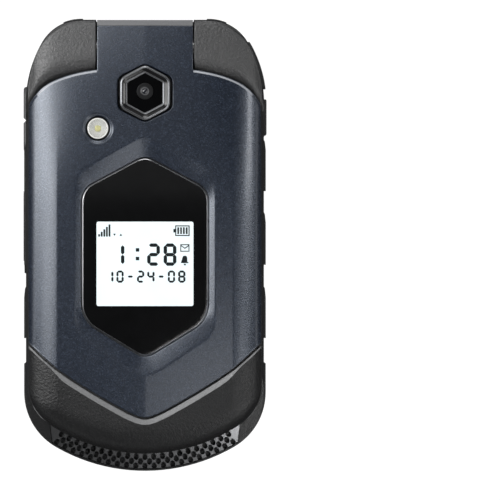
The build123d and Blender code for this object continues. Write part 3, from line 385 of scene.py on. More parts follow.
def smooth01(t):
    t = np.clip(t, 0, 1)
    return t * t * (3 - 2 * t)


def smin(a, b, k):
    h = np.clip(0.5 + 0.5 * (b - a) / k, 0, 1)
    return b + (a - b) * h - k * h * (1 - h)


def smax(a, b, k):
    return -smin(-a, -b, k)


def arc_height(x, p, q, r):
    """Height at x on the circle through p, q, r, whose points may be arrays."""
    ax, az = p
    bx, bz = q
    cx, cz = r
    d = 2 * (ax * (bz - cz) + bx * (cz - az) + cx * (az - bz))
    ux = ((ax ** 2 + az ** 2) * (bz - cz) + (bx ** 2 + bz ** 2) * (cz - az) + (cx ** 2 + cz ** 2) * (az - bz)) / d
    uz = ((ax ** 2 + az ** 2) * (cx - bx) + (bx ** 2 + bz ** 2) * (ax - cx) + (cx ** 2 + cz ** 2) * (bx - ax)) / d
    R2 = (ax - ux) ** 2 + (az - uz) ** 2
    return uz + np.sqrt(np.maximum(R2 - (x - ux) ** 2, 0.0))


def grid(xs, ys):
    X, Y = np.meshgrid(xs, ys)
    P = np.stack([X.ravel(), Y.ravel()], 1)
    nx, ny = len(xs), len(ys)
    i, j = np.meshgrid(np.arange(nx - 1), np.arange(ny - 1))
    a = (j * nx + i).ravel()
    flip = ((i + j) % 2 == 0).ravel()
    b, c, d = a + 1, a + nx + 1, a + nx
    t1 = np.where(flip[:, None], np.stack([a, b, c], 1), np.stack([a, b, d], 1))
    t2 = np.where(flip[:, None], np.stack([a, c, d], 1), np.stack([b, c, d], 1))
    return P, np.vstack([t1, t2])


def gradient(f, P, h=0.01):
    gx = (f(P[:, 0] + h, P[:, 1]) - f(P[:, 0] - h, P[:, 1])) / (2 * h)
    gy = (f(P[:, 0], P[:, 1] + h) - f(P[:, 0], P[:, 1] - h)) / (2 * h)
    return np.stack([gx, gy], 1)


def cut(P, T, f, both=False, snap=0.06):
    """Cuts a triangle mesh in the plan along f = 0. Keeps the side where f > 0, or both sides."""
    P = P.copy()
    v = f(P[:, 0], P[:, 1])
    near = np.abs(v) < snap
    if near.any():
        Q = P[near]
        for _ in range(3):
            g = gradient(f, Q)
            n2 = np.maximum((g ** 2).sum(1), 1e-9)
            step = -(f(Q[:, 0], Q[:, 1]) / n2)[:, None] * g
            ln = np.linalg.norm(step, axis=1)
            step *= np.minimum(1, snap * 1.5 / np.maximum(ln, 1e-12))[:, None]
            Q = Q + step
        ok = np.abs(f(Q[:, 0], Q[:, 1])) < 2e-3
        idx = np.nonzero(near)[0][ok]
        P[idx] = Q[ok]
        v = f(P[:, 0], P[:, 1])
        v[idx] = 0.0
    zero = v == 0.0
    side = np.where(zero, 0, np.sign(v))
    s = side[T]
    neg, pos = (s < 0).sum(1), (s > 0).sum(1)
    whole_in = (neg == 0) & (pos > 0)
    whole_out = (pos == 0) & (neg > 0)
    flat = (pos == 0) & (neg == 0)
    if flat.any():
        cen = P[T[flat]].mean(1)
        fin = f(cen[:, 0], cen[:, 1]) > 0
        fi = np.nonzero(flat)[0]
        whole_in[fi[fin]] = True
        whole_out[fi[~fin]] = True
    mixed = (neg > 0) & (pos > 0)
    ins, outs = [T[whole_in]], [T[whole_out]]
    M, sm = T[mixed], s[mixed]
    new_pts, base = [], len(P)
    if len(M):
        edges = np.vstack([M[:, [0, 1]], M[:, [1, 2]], M[:, [2, 0]]])
        es = np.vstack([sm[:, [0, 1]], sm[:, [1, 2]], sm[:, [2, 0]]])
        cr = es[:, 0] * es[:, 1] < 0
        ue = np.unique(np.sort(edges[cr], axis=1), axis=0)
        A, B = P[ue[:, 0]], P[ue[:, 1]]
        fa = f(A[:, 0], A[:, 1])
        lo, hi = np.zeros(len(ue)), np.ones(len(ue))
        for _ in range(26):
            mid = (lo + hi) / 2
            Q = A + (B - A) * mid[:, None]
            fm = f(Q[:, 0], Q[:, 1])
            same = np.sign(fm) == np.sign(fa)
            lo, hi = np.where(same, mid, lo), np.where(same, hi, mid)
        Q = A + (B - A) * ((lo + hi) / 2)[:, None]
        key = {tuple(e): base + i for i, e in enumerate(ue.tolist())}
        P = np.vstack([P, Q])
        a_in, a_out = [], []
        for tri, sg in zip(M.tolist(), sm.tolist()):
            pin, pout = [], []
            for q in range(3):
                i, j = tri[q], tri[(q + 1) % 3]
                si, sj = sg[q], sg[(q + 1) % 3]
                if si >= 0:
                    pin.append(i)
                if si <= 0:
                    pout.append(i)
                if si * sj < 0:
                    k = key[(i, j) if i < j else (j, i)]
                    pin.append(k)
                    pout.append(k)
            for poly, acc in ((pin, a_in), (pout, a_out)):
                for q in range(1, len(poly) - 1):
                    acc.append((poly[0], poly[q], poly[q + 1]))
        if a_in:
            ins.append(np.array(a_in))
        if a_out:
            outs.append(np.array(a_out))
    T = np.vstack(ins + outs) if both else np.vstack(ins)
    used = np.unique(T)
    remap = -np.ones(len(P), int)
    remap[used] = np.arange(len(used))
    return P[used], remap[T]


def tidy(P, T):
    """Drops triangles of no area."""
    a, b, c = P[T[:, 0]], P[T[:, 1]], P[T[:, 2]]
    area = (b[:, 0] - a[:, 0]) * (c[:, 1] - a[:, 1]) - (b[:, 1] - a[:, 1]) * (c[:, 0] - a[:, 0])
    return P, T[np.abs(area) > 1e-9]


def rim(T, n):
    """Edges used by one triangle, in the triangle's own direction."""
    e = np.vstack([T[:, [0, 1]], T[:, [1, 2]], T[:, [2, 0]]])
    k = np.sort(e, 1)
    code = k[:, 0] * n + k[:, 1]
    u, idx, cnt = np.unique(code, return_index=True, return_counts=True)
    return e[idx[cnt == 1]]


def rim_normals(P, E):
    """Outward normal in the plan at each rim vertex, with a limited mitre."""
    d = P[E[:, 1]] - P[E[:, 0]]
    d /= np.maximum(np.linalg.norm(d, axis=1), 1e-12)[:, None]
    nrm = np.stack([d[:, 1], -d[:, 0]], 1)
    acc = np.zeros((len(P), 2))
    np.add.at(acc, E[:, 0], nrm)
    np.add.at(acc, E[:, 1], nrm)
    ln = np.linalg.norm(acc, axis=1)
    out = acc / np.maximum(ln, 1e-9)[:, None]
    mitre = np.clip(2 / np.maximum(ln, 1e-9), 1.0, 1.5)
    return out * mitre[:, None]


def build(name, V, F, mats, index=None, sharp=38.0):
    """A mesh object from millimetre vertices and triangles (or quads)."""
    V = np.asarray(V, float)
    me = bpy.data.meshes.new(name)
    F = np.asarray(F)
    me.vertices.add(len(V))
    me.vertices.foreach_set("co", (V * S).astype(np.float32).ravel())
    me.loops.add(F.size)
    me.loops.foreach_set("vertex_index", F.astype(np.int32).ravel())
    me.polygons.add(len(F))
    me.polygons.foreach_set("loop_start", np.arange(0, F.size, F.shape[1], dtype=np.int32))
    me.polygons.foreach_set("loop_total", np.full(len(F), F.shape[1], np.int32))
    for m in mats:
        me.materials.append(m)
    if index is not None:
        me.polygons.foreach_set("material_index", np.asarray(index, np.int32))
    me.update(calc_edges=True)
    me.validate()
    me.polygons.foreach_set("use_smooth", np.ones(len(me.polygons), bool))
    me.set_sharp_from_angle(angle=math.radians(sharp))
    o = bpy.data.objects.new(name, me)
    bpy.context.scene.collection.objects.link(o)
    return o


def shell(name, P, T, top, bottom, mats, profile, index_of=None, rim_index=0, sharp=38.0):
    """Closed solid between two heights over a plan mesh. profile(P) gives, for rim points, rings of
    (outward offset, drop) arrays that round the edge over."""
    P, T = tidy(P, T)
    n = len(P)
    zt = top(P[:, 0], P[:, 1])
    zb = bottom(P[:, 0], P[:, 1])
    E = rim(T, n)
    rv = np.unique(E)
    where = -np.ones(n, int)
    where[rv] = np.arange(len(rv))
    nr = rim_normals(P, E)[rv]
    rings = profile(P[rv])
    V = [np.column_stack([P, zt])]
    F, I = [T], [np.zeros(len(T), int) if index_of is None else index_of(P[T].mean(1))]
    base, prev = n, rv.copy()
    for off, drop in rings:
        q = P[rv] + nr * np.asarray(off)[:, None]
        V.append(np.column_stack([q, np.maximum(zt[rv] - np.asarray(drop), zb[rv])]))
        now = base + np.arange(len(rv))
        a0, b0 = prev[where[E[:, 0]]], prev[where[E[:, 1]]]
        a1, b1 = now[where[E[:, 0]]], now[where[E[:, 1]]]
        F += [np.stack([a0, a1, b1], 1), np.stack([a0, b1, b0], 1)]
        I += [np.full(len(E), rim_index)] * 2
        prev = now
        base += len(rv)
    low = base + np.arange(n)
    V.append(np.column_stack([P, zb]))
    a0, b0 = prev[where[E[:, 0]]], prev[where[E[:, 1]]]
    a1, b1 = low[E[:, 0]], low[E[:, 1]]
    F += [np.stack([a0, a1, b1], 1), np.stack([a0, b1, b0], 1), low[T][:, ::-1]]
    I += [np.full(len(E), rim_index)] * 2 + [np.full(len(T), rim_index)]
    return build(name, np.vstack(V), np.vstack(F), mats, np.concatenate(I), sharp)


# ------------------------------------------------------------------ the lid's surface
HALF, LRC, LRB = 29.9, 12.0, 43.65
LYB = -53.3 + LRB
XC = HALF - LRC
YC = LYB - math.sqrt((LRB - LRC) ** 2 - XC ** 2)
AC = math.atan2(YC - LYB, XC)
zc_of = spline([-60, -40, -20, 6, 16, 30, 44.5, 59], [24.2, 25.1, 25.45, 25.5, 25.48, 25.4, 25.1, 24.0])


soft_crown = spline([0, 5, 10, 15, 18, 20, 22.4, 24, 25.5, 27, 28.3], [0, -0.085, -0.20, -0.43, -0.66, -0.885, -1.27, -1.63, -2.10, -2.76, -3.57])


def crown_raw(x, y):
    """Half section of the lid: one soft curve towards the hinge, and with a fold line at 22.4 lower down."""
    x = np.abs(x)
    zc = zc_of(y)
    k = smooth01((35.0 - y) / 26.0)
    dz = zc - 25.4
    A, B = (0.0, zc), (22.4, 24.6 + dz)
    am = (11.2, 25.01 + dz)
    bm = (25.5, 23.62 + dz * 0.8)
    C = (28.3, 22.10 + dz * 0.6)
    folded = np.where(x < 22.4, arc_height(x, A, am, B), arc_height(x, B, bm, C))
    soft = zc + soft_crown(np.minimum(x, 28.3)) - dz * 0.4 * smooth01((x - 21.0) / 7.3)
    top = soft + (folded - soft) * k
    C = (28.3, 21.83 + 0.27 * k + dz * 0.6)
    cm = (30.0, 19.85 + 0.10 * k + dz * 0.2)
    D = (30.9, 17.0)
    return np.where(x < 28.3, top, arc_height(np.minimum(x, 30.85), C, cm, D))


def crown(x, y):
    """The crown with its centre ridge and side folds slightly rounded."""
    h = 0.25
    return (crown_raw(x - h, y) + 2 * crown_raw(x, y) + crown_raw(x + h, y)) / 4


def lid_depth(x, y):
    """Distance inwards from the lid's outline, for its lower half."""
    x = np.abs(x)
    px, py = x - XC, y - YC
    ang = np.arctan2(py, px)
    corner = (ang <= 0) & (ang >= AC)
    return np.where(corner, LRC - np.hypot(px, py), np.minimum(HALF - x, LRB - np.hypot(x, y - LYB)))


tail_of = spline([0, 0.632, 1.304, 2.11, 2.94, 3.695, 4.6], [19.2, 21.0, 22.7, 24.1, 25.1, 25.75, 26.6])


def lid_top(x, y):
    z = crown(x, y)
    low = tail_of(np.sqrt(np.clip(lid_depth(x, y), 0, 21)))
    zz = smin(z, low, 0.35)
    w = smooth01((-14.0 - y) / 5.0)
    return z + (np.minimum(zz, z) - z) * w


HEX_Z = 24.3
# outlines of the window opening and of the recess: top tip, upper corner, lower corner, foot, each with its radius
OPENING = ((0.0, 23.0, 4.5), (16.35, 14.3, 5.5), (16.35, -19.3, 8.0), (0.0, -29.2, 4.5))
RECESS = ((0.0, 28.0, 4.5), (17.85, 18.2, 6.0), (17.85, -22.6, 6.7), (0.0, -34.4, 6.6))


def outline_sd(x, y, shape):
    """Signed distance to a mirrored six sided outline with rounded corners, positive outside."""
    x = np.abs(np.asarray(x, float))
    (_, yt, rt), (xs_, yu, ru), (_, yl, rl), (_, yf, rf) = shape
    nu = np.array([yt - yu, xs_])
    nu /= np.linalg.norm(nu)
    nl = np.array([yl - yf, -xs_])
    nl /= np.linalg.norm(nl)
    ns = np.array([1.0, 0.0])
    cu, cl, cs = nu @ (0.0, yt), nl @ (0.0, yf), xs_
    d = np.maximum(np.maximum(nu[0] * x + nu[1] * y - cu, x - cs), nl[0] * x + nl[1] * y - cl)
    for (na, ca), (nb, cb), r in (((nu, cu), (ns, cs), ru), ((ns, cs), (nl, cl), rl)):
        c = np.linalg.solve(np.array([na, nb]), np.array([ca - r, cb - r]))
        qx, qy = x - c[0], y - c[1]
        wedge = (na[0] * qy - na[1] * qx <= 0) & (nb[0] * qy - nb[1] * qx >= 0)
        d = np.where(wedge, np.hypot(qx, qy) - r, d)
    ct = (cu - rt) / nu[1]
    q = y - ct
    d = np.where((q > 0) & (nu[0] * q - nu[1] * x >= 0), np.hypot(x, q) - rt, d)
    cf = (cl - rf) / nl[1]
    q = y - cf
    d = np.where((q < 0) & (-nl[0] * q + nl[1] * x >= 0), np.hypot(x, q) - rf, d)
    return d


def window_sd(x, y):
    return outline_sd(x, y, OPENING)


def cover_top(x, y):
    """The lid's crown with the sloping band that falls from the recess outline to the window opening."""
    z = lid_top(x, y)
    d1, d2 = outline_sd(x, y, OPENING), outline_sd(x, y, RECESS)
    t = np.minimum(d1 / np.maximum(d1 - d2, 0.3), 1.5)
    z = z - smax((np.maximum(z, HEX_Z + 0.3) - HEX_Z) * (1 - t), 0.0 * z, 0.07)
    # rounded edge towards the shoulders
    f = np.clip(1 - (f_end(x, y) - R_EDGE) / 0.5, 0, 1)
    return z - 0.20 * f * f * smooth01((np.abs(x) - 12.1) / 0.5)


SH = [(48.4, 25.25), (46.5, 24.9), (44.1, 24.25), (41.0, 23.0), (38.5, 21.75), (36.2, 20.2), (34.2, 17.95), (31.0, 15.6)]


def offset_points(pts, d):
    out = []
    for i, p in enumerate(pts):
        a, b = pts[max(i - 1, 0)], pts[min(i + 1, len(pts) - 1)]
        t = (b[0] - a[0], b[1] - a[1])
        n = math.hypot(*t)
        out.append((p[0] + t[1] / n * d, p[1] - t[0] / n * d))
    return out


wing = sorted(offset_points(SH, 0.35))
wing_of = spline([p[0] for p in wing], [p[1] for p in wing])
WING_Y1 = wing[-1][0]


def wing_z(y):
    return np.where(y > WING_Y1, wing[-1][1] + (y - WING_Y1) * 0.4, np.where(y < wing[0][0], wing[0][1] - 2.0 * (wing[0][0] - y), wing_of(y)))


V_HALF = [(40, -15.9), (30.2, -24.6), (26.3, -28.2), (22.5, -31.5), (18.0, -34.6), (13.0, -37.7), (8.5, -40.3), (4.5, -42.5), (2.0, -43.6), (0.7, -43.95)]
V_LINE = np.array([(-x, y) for x, y in V_HALF] + [(0.0, -44.0)] + V_HALF[::-1], float)


def v_sd(x, y):
    """Signed distance to the V shaped joint between the cover and the end cap, positive on the cover's side."""
    x, y = np.asarray(x, float), np.asarray(y, float)
    best = np.full(np.broadcast(x, y).shape, 1e9)
    for a, b in zip(V_LINE[:-1], V_LINE[1:]):
        ab = b - a
        t = np.clip(((x - a[0]) * ab[0] + (y - a[1]) * ab[1]) / (ab @ ab), 0, 1)
        best = np.minimum(best, np.hypot(x - a[0] - t * ab[0], y - a[1] - t * ab[1]))
    yl = np.interp(x, V_LINE[:, 0], V_LINE[:, 1])
    return np.where(y > yl, best, -best)


CAM_Y = 38.7
FLASH = (-12.0, 29.7)
TONGUE = 12.2
SEAM = 20.4
R_EDGE = 0.22


def cam_hex_sd(x, y, w, h, shoulder, r):
    """Rounded pointed-top hexagon of the camera, positive outside."""
    ax, ay = np.abs(x), np.abs(y - CAM_Y)
    n = np.array([h / 2 - shoulder, w / 2])
    n = n / np.linalg.norm(n)
    c0 = n[1] * h / 2
    sl = ax * n[0] + ay * n[1] - c0
    sd = ax - w / 2
    # rounded by the inner offset of both sides
    u, v = sl + r, sd + r
    M = np.array([[n[0], n[1]], [1.0, 0.0]])
    c = np.linalg.solve(M, np.array([c0 - r, w / 2 - r]))
    qx, qy = ax - c[0], ay - c[1]
    wedge = (n[0] * qy - n[1] * qx <= 0) & (qy >= 0)
    d = np.where(wedge, np.hypot(qx, qy) - r, np.maximum(sl, sd))
    # rounded tips
    ty = (c0 - r) / n[1]
    tip = (ax < (ay - ty) * n[0] / n[1]) & (ay > ty)
    return np.where(tip, np.hypot(ax, ay - ty) - r, d)


def f_end(x, y):
    """Upper end of the cover: the tongue between the shoulders, or the curved edge beside them."""
    tongue = np.minimum(TONGUE - np.abs(x), 55.9 - y)
    raw = lid_top(x, y) - wing_z(y)
    h = 0.02
    gx = (lid_top(x + h, y) - lid_top(x - h, y)) / (2 * h)
    gy = (lid_top(x, y + h) - wing_z(y + h) - lid_top(x, y - h) + wing_z(y - h)) / (2 * h)
    wingd = raw / np.maximum(np.hypot(gx, gy), 0.15)
    return np.maximum(tongue, wingd)


def axis_points(a, b, fine_at, fine, coarse, reach):
    """Grid lines from a to b, closer near the given places."""
    out = [a]
    while out[-1] < b:
        d = min(abs(out[-1] - q) for q in fine_at)
        out.append(out[-1] + fine + (coarse - fine) * min(1.0, d / reach))
    out[-1] = b
    return np.array(out)


half_x = axis_points(0.0, 30.3, [16.35, 17.85, 22.4, 30.3], 0.10, 0.28, 2.4)
xs = np.concatenate([-half_x[::-1][:-1], half_x])
ys = np.arange(-46.0, 56.6, 0.25)
P0, T0 = grid(xs, ys)
P, T = cut(P0, T0, lambda x, y: lid_top(x, y) - SEAM, snap=0.03)
P, T = cut(P, T, lambda x, y: v_sd(x, y) - 0.05 - R_EDGE)
P, T = cut(P, T, lambda x, y: f_end(x, y) - R_EDGE)
P, T = cut(P, T, lambda x, y: f_end(x, y) - R_EDGE - 0.18, both=True)
P, T = cut(P, T, lambda x, y: f_end(x, y) - R_EDGE - 0.45, both=True)
P, T = cut(P, T, lambda x, y: outline_sd(x, y, RECESS) - 0.10, both=True, snap=0.09)
P, T = cut(P, T, lambda x, y: outline_sd(x, y, RECESS) + 0.10, both=True, snap=0.04)
P, T = cut(P, T, lambda x, y: window_sd(x, y) - 0.05, snap=0.09)
P, T = cut(P, T, lambda x, y: cam_hex_sd(x, y, 14.0, 15.0, 4.0, 2.3) - 0.20)
P, T = cut(P, T, lambda x, y: np.hypot(x - FLASH[0], y - FLASH[1]) - 3.95)


def cover_bottom(x, y):
    t = cover_top(x, y)
    z = t - 0.6
    w = np.where(np.abs(x) > TONGUE - 0.3, np.maximum(z, wing_z(y)), z)
    return np.minimum(np.maximum(w, SEAM - 0.02), t - 0.2)


def cover_profile(Q):
    x, y = Q[:, 0], Q[:, 1]
    n = len(Q)
    seam = np.abs(lid_top(x, y) - SEAM) < 0.08
    flash = np.abs(np.hypot(x - FLASH[0], y - FLASH[1]) - 3.95) < 0.05
    camh = np.abs(cam_hex_sd(x, y, 14.0, 15.0, 4.0, 2.3) - 0.20) < 0.05
    win = np.abs(window_sd(x, y) - 0.05) < 0.05
    rings = []
    plain = [(0.06, 0.01), (0.12, 0.035), (0.18, 0.09), (0.22, 0.18), (0.22, 0.6)]
    fl = [(0.12, 0.03), (0.30, 0.20), (0.50, 0.42), (0.78, 0.62), (0.80, 0.60)]
    ca = [(0.08, 0.03), (0.18, 0.12), (0.26, 0.26), (0.30, 0.45), (0.30, 0.6)]
    wi = [(0.02, 0.01), (0.04, 0.03), (0.05, 0.06), (0.05, 0.14), (0.05, 0.55)]
    se = [(0.0, 0.01), (0.0, 0.02), (-0.01, 0.03), (-0.02, 0.04), (-0.03, 0.05)]
    for k in range(5):
        o, d = np.full(n, plain[k][0]), np.full(n, plain[k][1])
        for sel, pr in ((flash, fl), (camh, ca), (win, wi), (seam, se)):
            o, d = np.where(sel, pr[k][0], o), np.where(sel, pr[k][1], d)
        rings.append((o, d))
    return rings


# painted highlight: faces near the cover's edge beside the shoulders get a lighter grey paint, where light catches the
# rounded edge
def painted_highlight_index(C):
    f = f_end(C[:, 0], C[:, 1])
    return np.where((f < R_EDGE + 0.43) & (np.abs(C[:, 0]) > TONGUE + 0.15) & (np.abs(C[:, 0]) < 27.4), 1, 0)


# lighter grey paint for the painted highlight along the edge beside the shoulders
MATS["worn_edge"] = surface("paint_edge_painted_highlight", (0.34, 0.355, 0.385), 0.32, 0.16, 1500.0, 0.06, coat=0.4, coat_rough=0.25)
cover = shell("outer_cover", P, T, cover_top, cover_bottom, [MATS["paint"], MATS["worn_edge"]], cover_profile, index_of=painted_highlight_index)
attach(cover, "lid")
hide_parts("lid_outer_cover")

# ------------------------------------------------------------------ end cap with its raised edge
GAP = 0.42


def lip_width(x):
    return 0.50 + 0.85 * smooth01((24.5 - np.abs(x)) / 4.0)


def cap_top(x, y):
    s = -v_sd(x, y) - GAP                     # distance into the cap from the open groove
    rise = 0.50 * np.clip((s - 0.08) / (lip_width(x) - 0.08), 0, 1)
    step = -0.75 + 0.67 * np.clip(s / 0.08, 0, 1)
    fade = smooth01((lid_depth(x, y) - 0.2) / 2.4)
    z = lid_top(x, y) + np.where(s < 0.08, step, -0.08 + rise * (0.45 + 0.55 * fade))
    return smin(z, lid_top(x, y) + 0.42, 0.04)


ysc = axis_points(-53.4, -22.0, [-53.4], 0.10, 0.28, 5.0)
P, T = grid(xs, ysc)
P, T = cut(P, T, lambda x, y: lid_top(x, y) - SEAM, snap=0.03)
P, T = cut(P, T, lambda x, y: 0.7 - v_sd(x, y))
P, T = cut(P, T, lambda x, y: -v_sd(x, y) - GAP, both=True)
P, T = cut(P, T, lambda x, y: -v_sd(x, y) - GAP - 0.08, both=True, snap=0.02)
P, T = cut(P, T, lambda x, y: -v_sd(x, y) - GAP - lip_width(x), both=True)


def cap_profile(Q):
    n = len(Q)
    return [(np.zeros(n), np.full(n, 0.01)), (np.full(n, -0.02), np.full(n, 0.04))]


def cap_bottom(x, y):
    return np.maximum(np.minimum(cap_top(x, y) - 0.3, lid_top(x, y) - 1.4), SEAM - 0.05)


def cap_index(C):
    s = -v_sd(C[:, 0], C[:, 1]) - GAP
    return np.where((s > 0.06) & (s < lip_width(C[:, 0])), 1, 0)


cap = shell("end_cap", P, T, cap_top, cap_bottom, [MATS["cap"], MATS["lip"]], cap_profile, index_of=cap_index, sharp=24.0)
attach(cap, "lid")
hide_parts("lid_end_cap")

# ------------------------------------------------------------------ grained skin on the two shoulders
BR1, BX1, BY1 = 11.5, 16.3, 46.0
BR2 = (30.5 - BX1 - BR1 * math.cos(math.radians(30))) / (1 - math.cos(math.radians(30)))
BX2, BY2 = BX1 - (BR2 - BR1) * math.cos(math.radians(30)), BY1 - (BR2 - BR1) * 0.5
pad_crown = spline([0, 8, 12.5, 16, 18, 20, 22.4, 24, 25.5, 27, 28.3, 29.4, 30.0, 30.6],
                   [0.02, -0.06, -0.20, -0.37, -0.51, -0.67, -0.91, -1.18, -1.62, -2.34, -3.28, -4.52, -5.36, -6.9])
ROLL_X = [11.0, 16.0, 20.4, 24.0, 27.0, 29.4, 31.2]
roll_y = spline(ROLL_X, [44.9, 44.0, 43.2, 42.1, 39.7, 36.5, 33.4])
roll_k = spline(ROLL_X, [1.0, 1.0, 1.0, 0.95, 0.85, 0.7, 0.6])
roll_r = spline(ROLL_X, [5.6, 5.6, 5.5, 5.2, 4.8, 4.2, 4.0])
roll_d = spline([-1.8, -1.1, -0.6, -0.18, 0.08, 0.42, 1.0, 1.3], [3.75, 3.66, 3.4, 2.7, 1.5, 0.42, -0.02, -0.14])


def base_depth(x, y):
    """Distance inwards from the base's outline, for its hinge end."""
    x = np.abs(x)
    a1 = np.arctan2(y - BY1, x - BX1)
    outer = BR2 - np.hypot(x - BX2, y - BY2)
    inner = BR1 - np.hypot(x - BX1, y - BY1)
    d = np.where((a1 > math.radians(30)) & (x > BX1), inner, outer)
    return np.where((x <= BX1) & (y > BY1), BY1 + BR1 - y, np.where(y < BY2, 30.5 - x, d))


def shoulder_raw(x, y):
    x = np.abs(x)
    z = zc_of(y) + pad_crown(np.minimum(x, 30.6)) + 0.10
    d = np.clip(base_depth(x, y), 0.02, 4.0)
    z = smin(z + 0.06, 21.3 + np.sqrt(16.0 - (4.0 - d) ** 2) + 0.22, 0.9)
    drop = roll_k(x) * roll_d((y - roll_y(x)) / roll_r(x))
    return z - smax(drop, 0.0 * z, 0.05)


P, T = grid(np.arange(12.0, 30.6, 0.22), np.arange(30.0, 57.6, 0.22))
P, T = cut(P, T, lambda x, y: x - 12.72)
P, T = cut(P, T, lambda x, y: base_depth(x, y) - 0.42)
P, T = cut(P, T, lambda x, y: 29.75 - x)
P, T = cut(P, T, lambda x, y: y - roll_y(x) + 1.3)
for tag, sgn in (("left", -1.0), ("right", 1.0)):
    Q, U = P.copy(), T
    if sgn < 0:
        Q[:, 0] *= -1
        U = T[:, ::-1]
    skin = shell("shoulder_skin_" + tag, Q, U, shoulder_raw, lambda x, y: shoulder_raw(x, y) - 0.3, [MATS["skin"]],
                 lambda q: [(np.full(len(q), 0.05), np.full(len(q), 0.02)), (np.full(len(q), 0.09), np.full(len(q), 0.08)),
                            (np.full(len(q), 0.10), np.full(len(q), 0.3))])
    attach(skin, "base")

# ------------------------------------------------------------------ pieces from outlines
def rounded_loop(pts, radii, seg=10):
    """Outline with rounded corners as (centres, normals, radii), so that it can be offset. Corners run anticlockwise."""
    C, N, R = [], [], []
    n = len(pts)
    for i in range(n):
        p0, p1, p2 = (np.array(pts[(i + k - 1) % n], float) for k in range(3))
        d1, d2 = (p1 - p0) / np.linalg.norm(p1 - p0), (p2 - p1) / np.linalg.norm(p2 - p1)
        n1, n2 = np.array([d1[1], -d1[0]]), np.array([d2[1], -d2[0]])
        r = radii[i]
        M = np.array([n1, n2])
        c = np.linalg.solve(M, np.array([n1 @ p1 - r, n2 @ p1 - r]))
        a1, a2 = math.atan2(n1[1], n1[0]), math.atan2(n2[1], n2[0])
        if a2 < a1:
            a2 += 2 * math.pi
        for t in np.linspace(a1, a2, seg + 1):
            C.append(c)
            N.append((math.cos(t), math.sin(t)))
            R.append(r)
    return np.array(C), np.array(N), np.array(R)


def circle_loop(x, y, n=96):
    t = np.linspace(0, 2 * math.pi, n, endpoint=False)
    return np.tile([[x, y]], (n, 1)), np.stack([np.cos(t), np.sin(t)], 1), np.zeros(n)


def turned(name, loop, rings, mats, index, sharp=30.0, close=True):
    """Solid from an outline offset ring by ring: rings of (offset, z) run from the middle of the top, outwards,
    down and back to the middle of the underside. A ring whose offset is None is the middle point."""
    C, N, R = loop
    n = len(C)
    mid = C.mean(0) if R.max() > 0 else C[0]
    V, F, I, rows = [], [], [], []
    for off, z in rings:
        if off is None:
            rows.append(np.full(n, len(V)))
            V.append((mid[0], mid[1], z))
        else:
            base = len(V)
            q = C + N * (R + off)[:, None]
            V += [(a, b, z) for a, b in q]
            rows.append(base + np.arange(n))
    for k in range(len(rows) - 1):
        a, b = rows[k], rows[k + 1]
        a2, b2 = np.roll(a, -1), np.roll(b, -1)
        if rings[k][0] is None:
            F.append(np.stack([a, b, b2], 1))
            I += [index[k]] * n
        elif rings[k + 1][0] is None:
            F.append(np.stack([a, b, a2], 1))
            I += [index[k]] * n
        else:
            F += [np.stack([a, b, b2], 1), np.stack([a, b2, a2], 1)]
            I += [index[k]] * (2 * n)
    return build(name, np.array(V), np.vstack(F), mats, I, sharp)


def plates(name, polys, z0, z1, mat):
    """Thin flat marks: each is an outline, anticlockwise, made into a closed plate."""
    V, F = [], []
    for p in polys:
        n, b = len(p), len(V)
        V += [(x, y, z1) for x, y in p] + [(x, y, z0) for x, y in p]
        for i in range(1, n - 1):
            F.append((b, b + i, b + i + 1))
            F.append((b + n, b + n + i + 1, b + n + i))
        for i in range(n):
            j = (i + 1) % n
            F.append((b + i, b + n + i, b + n + j))
            F.append((b + i, b + n + j, b + j))
    return build(name, np.array(V), np.array(F), [mat], None, 20.0)


# window over the outer display
WIN_Z = 24.42
LCD = (-12.35, 12.35, -15.55, 5.95)


def lcd_sd(x, y, r=0.5):
    cx, cy = (LCD[0] + LCD[1]) / 2, (LCD[2] + LCD[3]) / 2
    qx, qy = np.abs(x - cx) - (LCD[1] - LCD[0]) / 2 + r, np.abs(y - cy) - (LCD[3] - LCD[2]) / 2 + r
    return np.hypot(np.maximum(qx, 0), np.maximum(qy, 0)) + np.minimum(np.maximum(qx, qy), 0) - r


def window_top(x, y):
    return WIN_Z - 0.00045 * (x * x) - 0.00035 * (y + 3.0) ** 2


wx = axis_points(-16.5, 16.5, [-16.1, -12.35, 12.35, 16.1], 0.20, 0.7, 3.0)
wy = axis_points(-28.8, 22.8, [-15.55, 5.95], 0.25, 0.6, 3.0)
PW, TW = grid(wx, wy)
PW, TW = cut(PW, TW, lambda x, y: -window_sd(x, y) - 0.20, snap=0.10)
PW, TW = cut(PW, TW, lambda x, y: -window_sd(x, y) - 0.62, both=True, snap=0.08)
PW, TW = cut(PW, TW, lambda x, y: -window_sd(x, y) - 0.80, both=True, snap=0.04)
PI, TI = cut(PW, TW, lambda x, y: lcd_sd(x, y), snap=0.05)
PL, TL = cut(PW, TW, lambda x, y: -lcd_sd(x, y), snap=0.05)


def pane_top(x, y):
    """The glass stands a little proud: a sloped bright edge, then a polished bevel, then the flat."""
    e = -window_sd(x, y)
    return window_top(x, y) - 0.30 * np.clip((0.62 - e) / 0.42, 0, 1) - 0.015 * np.clip((0.80 - e) / 0.18, 0, 1)


def pane_profile(Q):
    outer = window_sd(Q[:, 0], Q[:, 1]) > -0.5
    return [(np.where(outer, o, 0.0), np.full(len(Q), d)) for o, d in ((0.03, 0.02), (0.05, 0.08), (0.05, 0.5))]


def pane_index(C):
    return np.where(-window_sd(C[:, 0], C[:, 1]) < 0.62, 1, 0)


MATS["frame_line"] = surface("satin_frame_line", (0.42, 0.42, 0.43), 0.30, 0.06, 1800.0, 0.04, metallic=1.0)
glass = shell("display_window", PI, TI, pane_top, lambda x, y: x * 0 + 23.55, [MATS["gloss"], MATS["frame_line"]], pane_profile, index_of=pane_index, sharp=20.0)
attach(glass, "lid")
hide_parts("sub_window")

